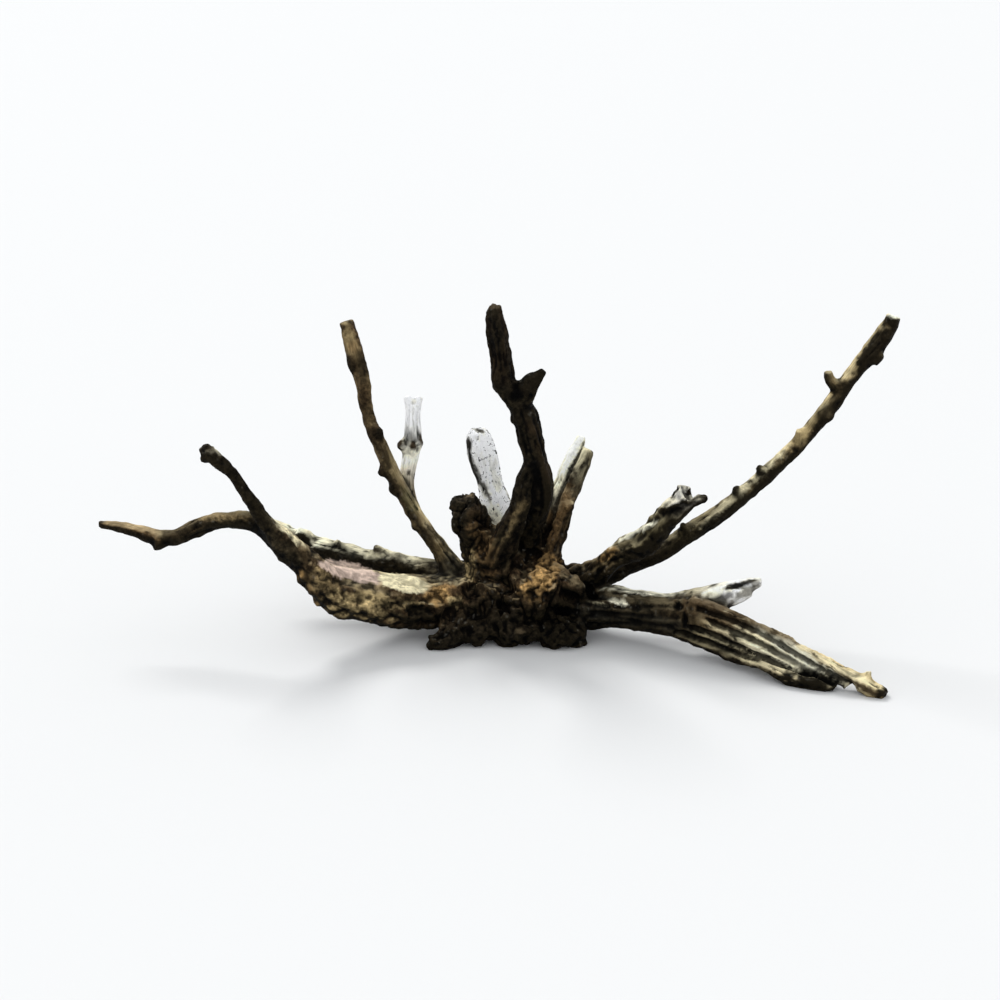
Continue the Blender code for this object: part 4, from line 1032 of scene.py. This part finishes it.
def tintDriftwood(obj, limbs):
    # each point's colour, painted shade and highlights included, where it lies along and across the grain,
    # and how barky and hollow it is
    points, normals, t = pointsOf(obj), normalsOf(obj), tinting
    found = surveyPoints(points, limbs)
    cover = coverOf(points, normals, found, limbs)[:, None]
    ends = [looksOf(limb["name"]) for limb in limbs]
    bare, bark = (
        limbMix(found, *([colourOf(palette[look[end][which]]) for look in ends] for end in (0, 1)))
        for which in (0, 1)
    )

    # lighter where it faces up, both bleached and painted light from above, flecked, and grey on the backs
    # of the pale limbs
    uneven, unevenSize = t["unevenUp"]
    up = normals[:, 2] + uneven * noiseAt(points / unevenSize + 50.0)
    # faces that look up are lighter: partly bleached wood, partly painted light from above
    bleachAndLight = smoothStep(*t["bleachAndLightTurn"], up)[:, None]
    lighter, *brightnessEnds = t["bleachAndLightLess"]
    brightness = np.clip(bare.mean(axis=1) * lighter, *brightnessEnds)[:, None]
    bare = bare + (colourOf(t["bleachAndLightColour"]) - bare) * bleachAndLight * t["bleachAndLight"] * brightness
    bark = bark * (1 + t["bleachAndLightOnBark"] * bleachAndLight)
    flecks = smoothStep(*t["fleckEdge"], noiseAt(grainPlaces(found, t["fleckSize"]) + 2.0))
    barkiness = limbMix(found, [look[0][2] for look in ends], [look[1][2] for look in ends])
    lively = 1 - t["calm"] * smoothStep(*t["calmFrom"], barkiness)
    towards = facingOf(normals)
    backed = smoothStep(*t["backTurn"], towards) * smoothStep(*t["backFrom"], barkiness) * t["backGrey"]
    bare = bare + (colourOf(palette["grey"]) - bare) * backed[:, None]
    bare = bare * (1 - t["fleckDark"] * (flecks * lively)[:, None])

    # the patches, some of them painted shade and painted highlights, then mottled, with painted shade at the
    # sides and below
    colour, calm = paintPatches(bare + (bark - bare) * cover, points, normals)
    cover = cover * (1 - calm)[:, None]
    lively = lively * (1 - calm)
    colour *= (1 + t["mottle"] * lively * noiseAt(points / t["mottleSize"] + 7.0))[:, None]
    # painted shade on the faces that don't look up
    side = smoothStep(*t["paintedSideShadeTurn"], up) * lively
    colour *= (1 - t["paintedSideShade"] * side)[:, None]
    # painted shade on the undersides, reaching as far up as each limb's look says
    under = limbMix(found, [look[0][3] for look in ends], [look[1][3] for look in ends])
    underShade = smoothStep(under + t["paintedUnderShadeEdge"], under - t["paintedUnderShadeEdge"], up) * (1 - calm)
    colour *= (1 - t["underDark"] * underShade)[:, None]

    # painted shade in its hollows, painted highlights on its crests, with lichen where it is dark
    near, wide = hollowsOf(obj, t["hollowPasses"])
    nearShare, wideShare = t["hollowShares"]
    hollow = np.clip((near * nearShare + wide * wideShare) / t["hollowFull"], -1, 1)
    crest, hollow = np.clip(-hollow, 0, 1), np.clip(hollow, 0, 1)
    # painted shade in the hollows and painted light on the crests
    colour *= (1 - t["paintedHollowShade"] * lively * hollow + t["paintedCrestLight"] * crest)[:, None]
    brightness = np.clip(colour.mean(axis=1) / t["contrastMiddle"], *t["contrastEnds"])
    colour *= (brightness ** t["contrast"])[:, None]
    # painted highlight added on the crests
    colour += t["paintedCrestHighlight"] * crest[:, None] * colourOf(palette["straw"])
    lichen = smoothStep(*t["lichenEdge"], noiseAt(points / t["lichenSize"] + 3.0))
    lichen *= smoothStep(*t["lichenPatchEdge"], noiseAt(points / t["lichenPatch"] + 90.0))
    lichen *= smoothStep(*t["lichenDark"], colour.mean(axis=1)) * smoothStep(*t["lichenTurn"], up)
    colour += (colourOf(palette["grey"]) - colour) * t["lichen"] * lichen[:, None]

    # what the material reads: the grain shows where one limb is clear of the others
    clear = np.clip(found["lead"] / t["clearFrom"], 0, 1)
    clear *= 1 - mixedWear(found, limbs, "bark") / wear["burl"]["bark"]
    addAttribute(obj, "tint", "FLOAT_COLOR", np.column_stack([np.clip(colour, 0, 1), np.ones(len(points))]))
    addAttribute(obj, "grainAt", "FLOAT_VECTOR", grainPlaces(found, (1, 1)))
    addAttribute(obj, "bark", "FLOAT", cover)
    addAttribute(obj, "clear", "FLOAT", np.clip(clear, 0, 1) * (1 - t["calmGrain"] * calm))
    plank = found["weights"] @ np.array([float(limb["name"].startswith("palePlank")) for limb in limbs])
    edge = smoothStep(*t["edgeTurn"], towards) * smoothStep(*t["edgeEnd"], towards)
    addAttribute(obj, "flecked", "FLOAT", plank * (t["flecks"] + t["edgeFlecks"] * edge))
    print("tinted")


# A shade is the span of a pattern that it uses, then what the colour is multiplied by at either end of it.
# The roughness is given in the same way.
finish = {
    "lineScale": (70.0, 950.0, 950.0),
    "lineDetail": 4.0,
    "lineShade": (0.3, 0.7, 0.5, 1.4),
    "hairScale": (260.0, 3000.0, 3000.0),
    "hairDetail": 3.0,
    "hairShade": (0.3, 0.7, 0.75, 1.2),
    "patternRoughness": 0.6,
    "roughPattern": {"Scale": 420.0, "Detail": 6.0, "Roughness": 0.65},
    "roughShade": (0.3, 0.7, 0.35, 1.75),
    "plainShade": (0.3, 0.7, 0.7, 1.25),
    "plankShade": (0.3, 0.7, 0.95, 1.1),
    "coarsePattern": {"Scale": 150.0, "Detail": 4.0, "Roughness": 0.6, "Distortion": 0.6},
    "coarseShade": (0.35, 0.65, 0.4, 1.6),
    "roughness": (0.3, 0.7, 0.95, 0.62),
    "speckPattern": {"Scale": 420.0, "Detail": 3.0, "Roughness": 0.6, "Distortion": 0.8},
    "speckReach": 0.24,  # how much thicker the specks lie where the wood is fully flecked
    "speckShade": (0.73, 0.77, 1.0, 0.05),
    "specular": 0.05,
    "grainBump": 0.0005,
    "grainUnderBark": 0.3,
    "barkBump": 0.0016,
    "barkBumpOnBare": 0.25,
}


def weatheredWood():
    material = bpy.data.materials.new("weatheredWood")
    material.use_nodes = True
    nodes, links = material.node_tree.nodes, material.node_tree.links
    shader = nodes["Principled BSDF"]

    def add(kind, **settings):
        made = nodes.new(kind)
        for key, value in settings.items():
            if key in made.inputs.keys():
                made.inputs[key].default_value = value
            else:
                setattr(made, key, value)
        return made

    def attribute(name):
        return add("ShaderNodeAttribute", attribute_name=name)

    def stretched(scale, detail):
        mapping = add("ShaderNodeMapping")
        mapping.inputs["Scale"].default_value = scale
        links.new(attribute("grainAt").outputs["Vector"], mapping.inputs["Vector"])
        pattern = add("ShaderNodeTexNoise", Scale=1.0, Detail=detail, Roughness=finish["patternRoughness"])
        links.new(mapping.outputs["Vector"], pattern.inputs["Vector"])
        return pattern.outputs["Fac"]

    def patterned(settings):
        pattern = add("ShaderNodeTexNoise", **settings)
        links.new(place, pattern.inputs["Vector"])
        return pattern.outputs["Fac"]

    def ranged(value, low, high, toLow, toHigh):
        made = add("ShaderNodeMapRange")
        made.inputs["From Min"].default_value = low
        made.inputs["From Max"].default_value = high
        made.inputs["To Min"].default_value = toLow
        made.inputs["To Max"].default_value = toHigh
        links.new(value, made.inputs["Value"])
        return made.outputs["Result"]

    def mixed(factor, first, second):
        made = add("ShaderNodeMix", data_type="FLOAT")
        links.new(factor, made.inputs[0])
        for socket, value in ((made.inputs[2], first), (made.inputs[3], second)):
            if isinstance(value, float):
                socket.default_value = value
            else:
                links.new(value, socket)
        return made.outputs[0]

    def times(first, second):
        made = add("ShaderNodeMath", operation="MULTIPLY")
        links.new(first, made.inputs[0])
        if isinstance(second, float):
            made.inputs[1].default_value = second
        else:
            links.new(second, made.inputs[1])
        return made.outputs[0]

    place = add("ShaderNodeTexCoord").outputs["Object"]
    lines = stretched(finish["lineScale"], finish["lineDetail"])
    hairs = stretched(finish["hairScale"], finish["hairDetail"])
    rough = patterned(finish["roughPattern"])
    coarse = patterned(finish["coarsePattern"])
    specks = patterned(finish["speckPattern"])
    clear, bark, flecked = (attribute(name).outputs["Fac"] for name in ("clear", "bark", "flecked"))

    # light and dark along the grain where the wood is bare, in blotches where it is bark
    bareShade = times(ranged(lines, *finish["lineShade"]), ranged(hairs, *finish["hairShade"]))
    barkShade = times(ranged(coarse, *finish["coarseShade"]), ranged(rough, *finish["roughShade"]))
    bareShade = mixed(clear, ranged(rough, *finish["plainShade"]), bareShade)
    bareShade = mixed(flecked, bareShade, ranged(rough, *finish["plankShade"]))
    shade = mixed(bark, bareShade, barkShade)

    # the plank's fine black flecks
    thick = add("ShaderNodeMath", operation="MULTIPLY_ADD")
    links.new(flecked, thick.inputs[0])
    thick.inputs[1].default_value = finish["speckReach"]
    links.new(specks, thick.inputs[2])
    shade = times(shade, ranged(thick.outputs[0], *finish["speckShade"]))

    scaled = add("ShaderNodeVectorMath", operation="SCALE")
    links.new(attribute("tint").outputs["Color"], scaled.inputs[0])
    links.new(shade, scaled.inputs["Scale"])
    links.new(scaled.outputs[0], shader.inputs["Base Color"])
    links.new(ranged(rough, *finish["roughness"]), shader.inputs["Roughness"])
    shader.inputs["Specular IOR Level"].default_value = finish["specular"]

    grainBump = add("ShaderNodeBump", Strength=1.0, Distance=finish["grainBump"])
    grainHeight = times(mixed(clear, 0.5, lines), mixed(bark, 1.0, finish["grainUnderBark"]))
    links.new(grainHeight, grainBump.inputs["Height"])
    barkBump = add("ShaderNodeBump", Strength=1.0, Distance=finish["barkBump"])
    links.new(times(rough, mixed(bark, finish["barkBumpOnBare"], 1.0)), barkBump.inputs["Height"])
    links.new(grainBump.outputs["Normal"], barkBump.inputs["Normal"])
    links.new(barkBump.outputs["Normal"], shader.inputs["Normal"])
    return material


# The piece is set where the CAD's is: centred on its box, with the flats of its feet on its floor.
wood, limbs = makeDriftwood()
points = pointsOf(wood)
cadLow, cadHigh = (np.array(corner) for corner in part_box("driftwood"))
shift = (cadLow + cadHigh - points.min(axis=0) - points.max(axis=0)) / 2
shift[2] = cadLow[2] - driftwood["flatAboveGround"]
tintDriftwood(wood, limbs)
movePoints(wood, points + shift)
bpy.ops.object.shade_smooth()
wood.data.materials.clear()
wood.data.materials.append(weatheredWood())
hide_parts("driftwood")
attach(wood, "root")

studio = {
    "floorSize": 40.0,
    "floorColour": (0.77, 0.77, 0.76, 1),
    "floorRoughness": 0.9,
    "worldColour": (0.95, 0.97, 1.0, 1),
    "worldStrength": 0.92,
    "keyStrength": 1.5,
    "keyTurn": (math.radians(-38), math.radians(-22), 0),
    "keyAngle": math.radians(20),
    "sensorWidth": 36,  # of the camera, in millimetres
}


def setStudio():
    bpy.ops.mesh.primitive_plane_add(size=studio["floorSize"])
    floor = bpy.context.object
    floor.name = "studioFloor"
    paper = bpy.data.materials.new("paleFloor")
    paper.use_nodes = True
    shader = paper.node_tree.nodes["Principled BSDF"]
    shader.inputs["Base Color"].default_value = studio["floorColour"]
    shader.inputs["Roughness"].default_value = studio["floorRoughness"]
    floor.data.materials.append(paper)
    world = bpy.data.worlds.new("studioWorld")
    bpy.context.scene.world = world
    world.use_nodes = True
    background = world.node_tree.nodes["Background"]
    background.inputs["Color"].default_value = studio["worldColour"]
    background.inputs["Strength"].default_value = studio["worldStrength"]
    bpy.ops.object.light_add(type="SUN", rotation=studio["keyTurn"])
    key = bpy.context.object
    key.data.energy = studio["keyStrength"]
    key.data.angle = studio["keyAngle"]
    bpy.context.scene.view_settings.view_transform = "Standard"


def setCamera():
    distance, tilt = driftwood["viewDistance"], driftwood["viewTilt"]
    place = np.array((0, -distance * math.cos(tilt), driftwood["viewHeight"] + distance * math.sin(tilt)))
    bpy.ops.object.camera_add(location=place + shift, rotation=(math.pi / 2 - tilt, 0, 0))
    camera = bpy.context.object
    camera.data.sensor_width = studio["sensorWidth"]
    pictureWidth = driftwood["overallWidth"] * driftwood["pictureUnits"] / driftwood["widthUnits"]
    camera.data.lens = studio["sensorWidth"] * distance / pictureWidth
    bpy.context.scene.camera = camera


setStudio()
setCamera()
print("studio set")
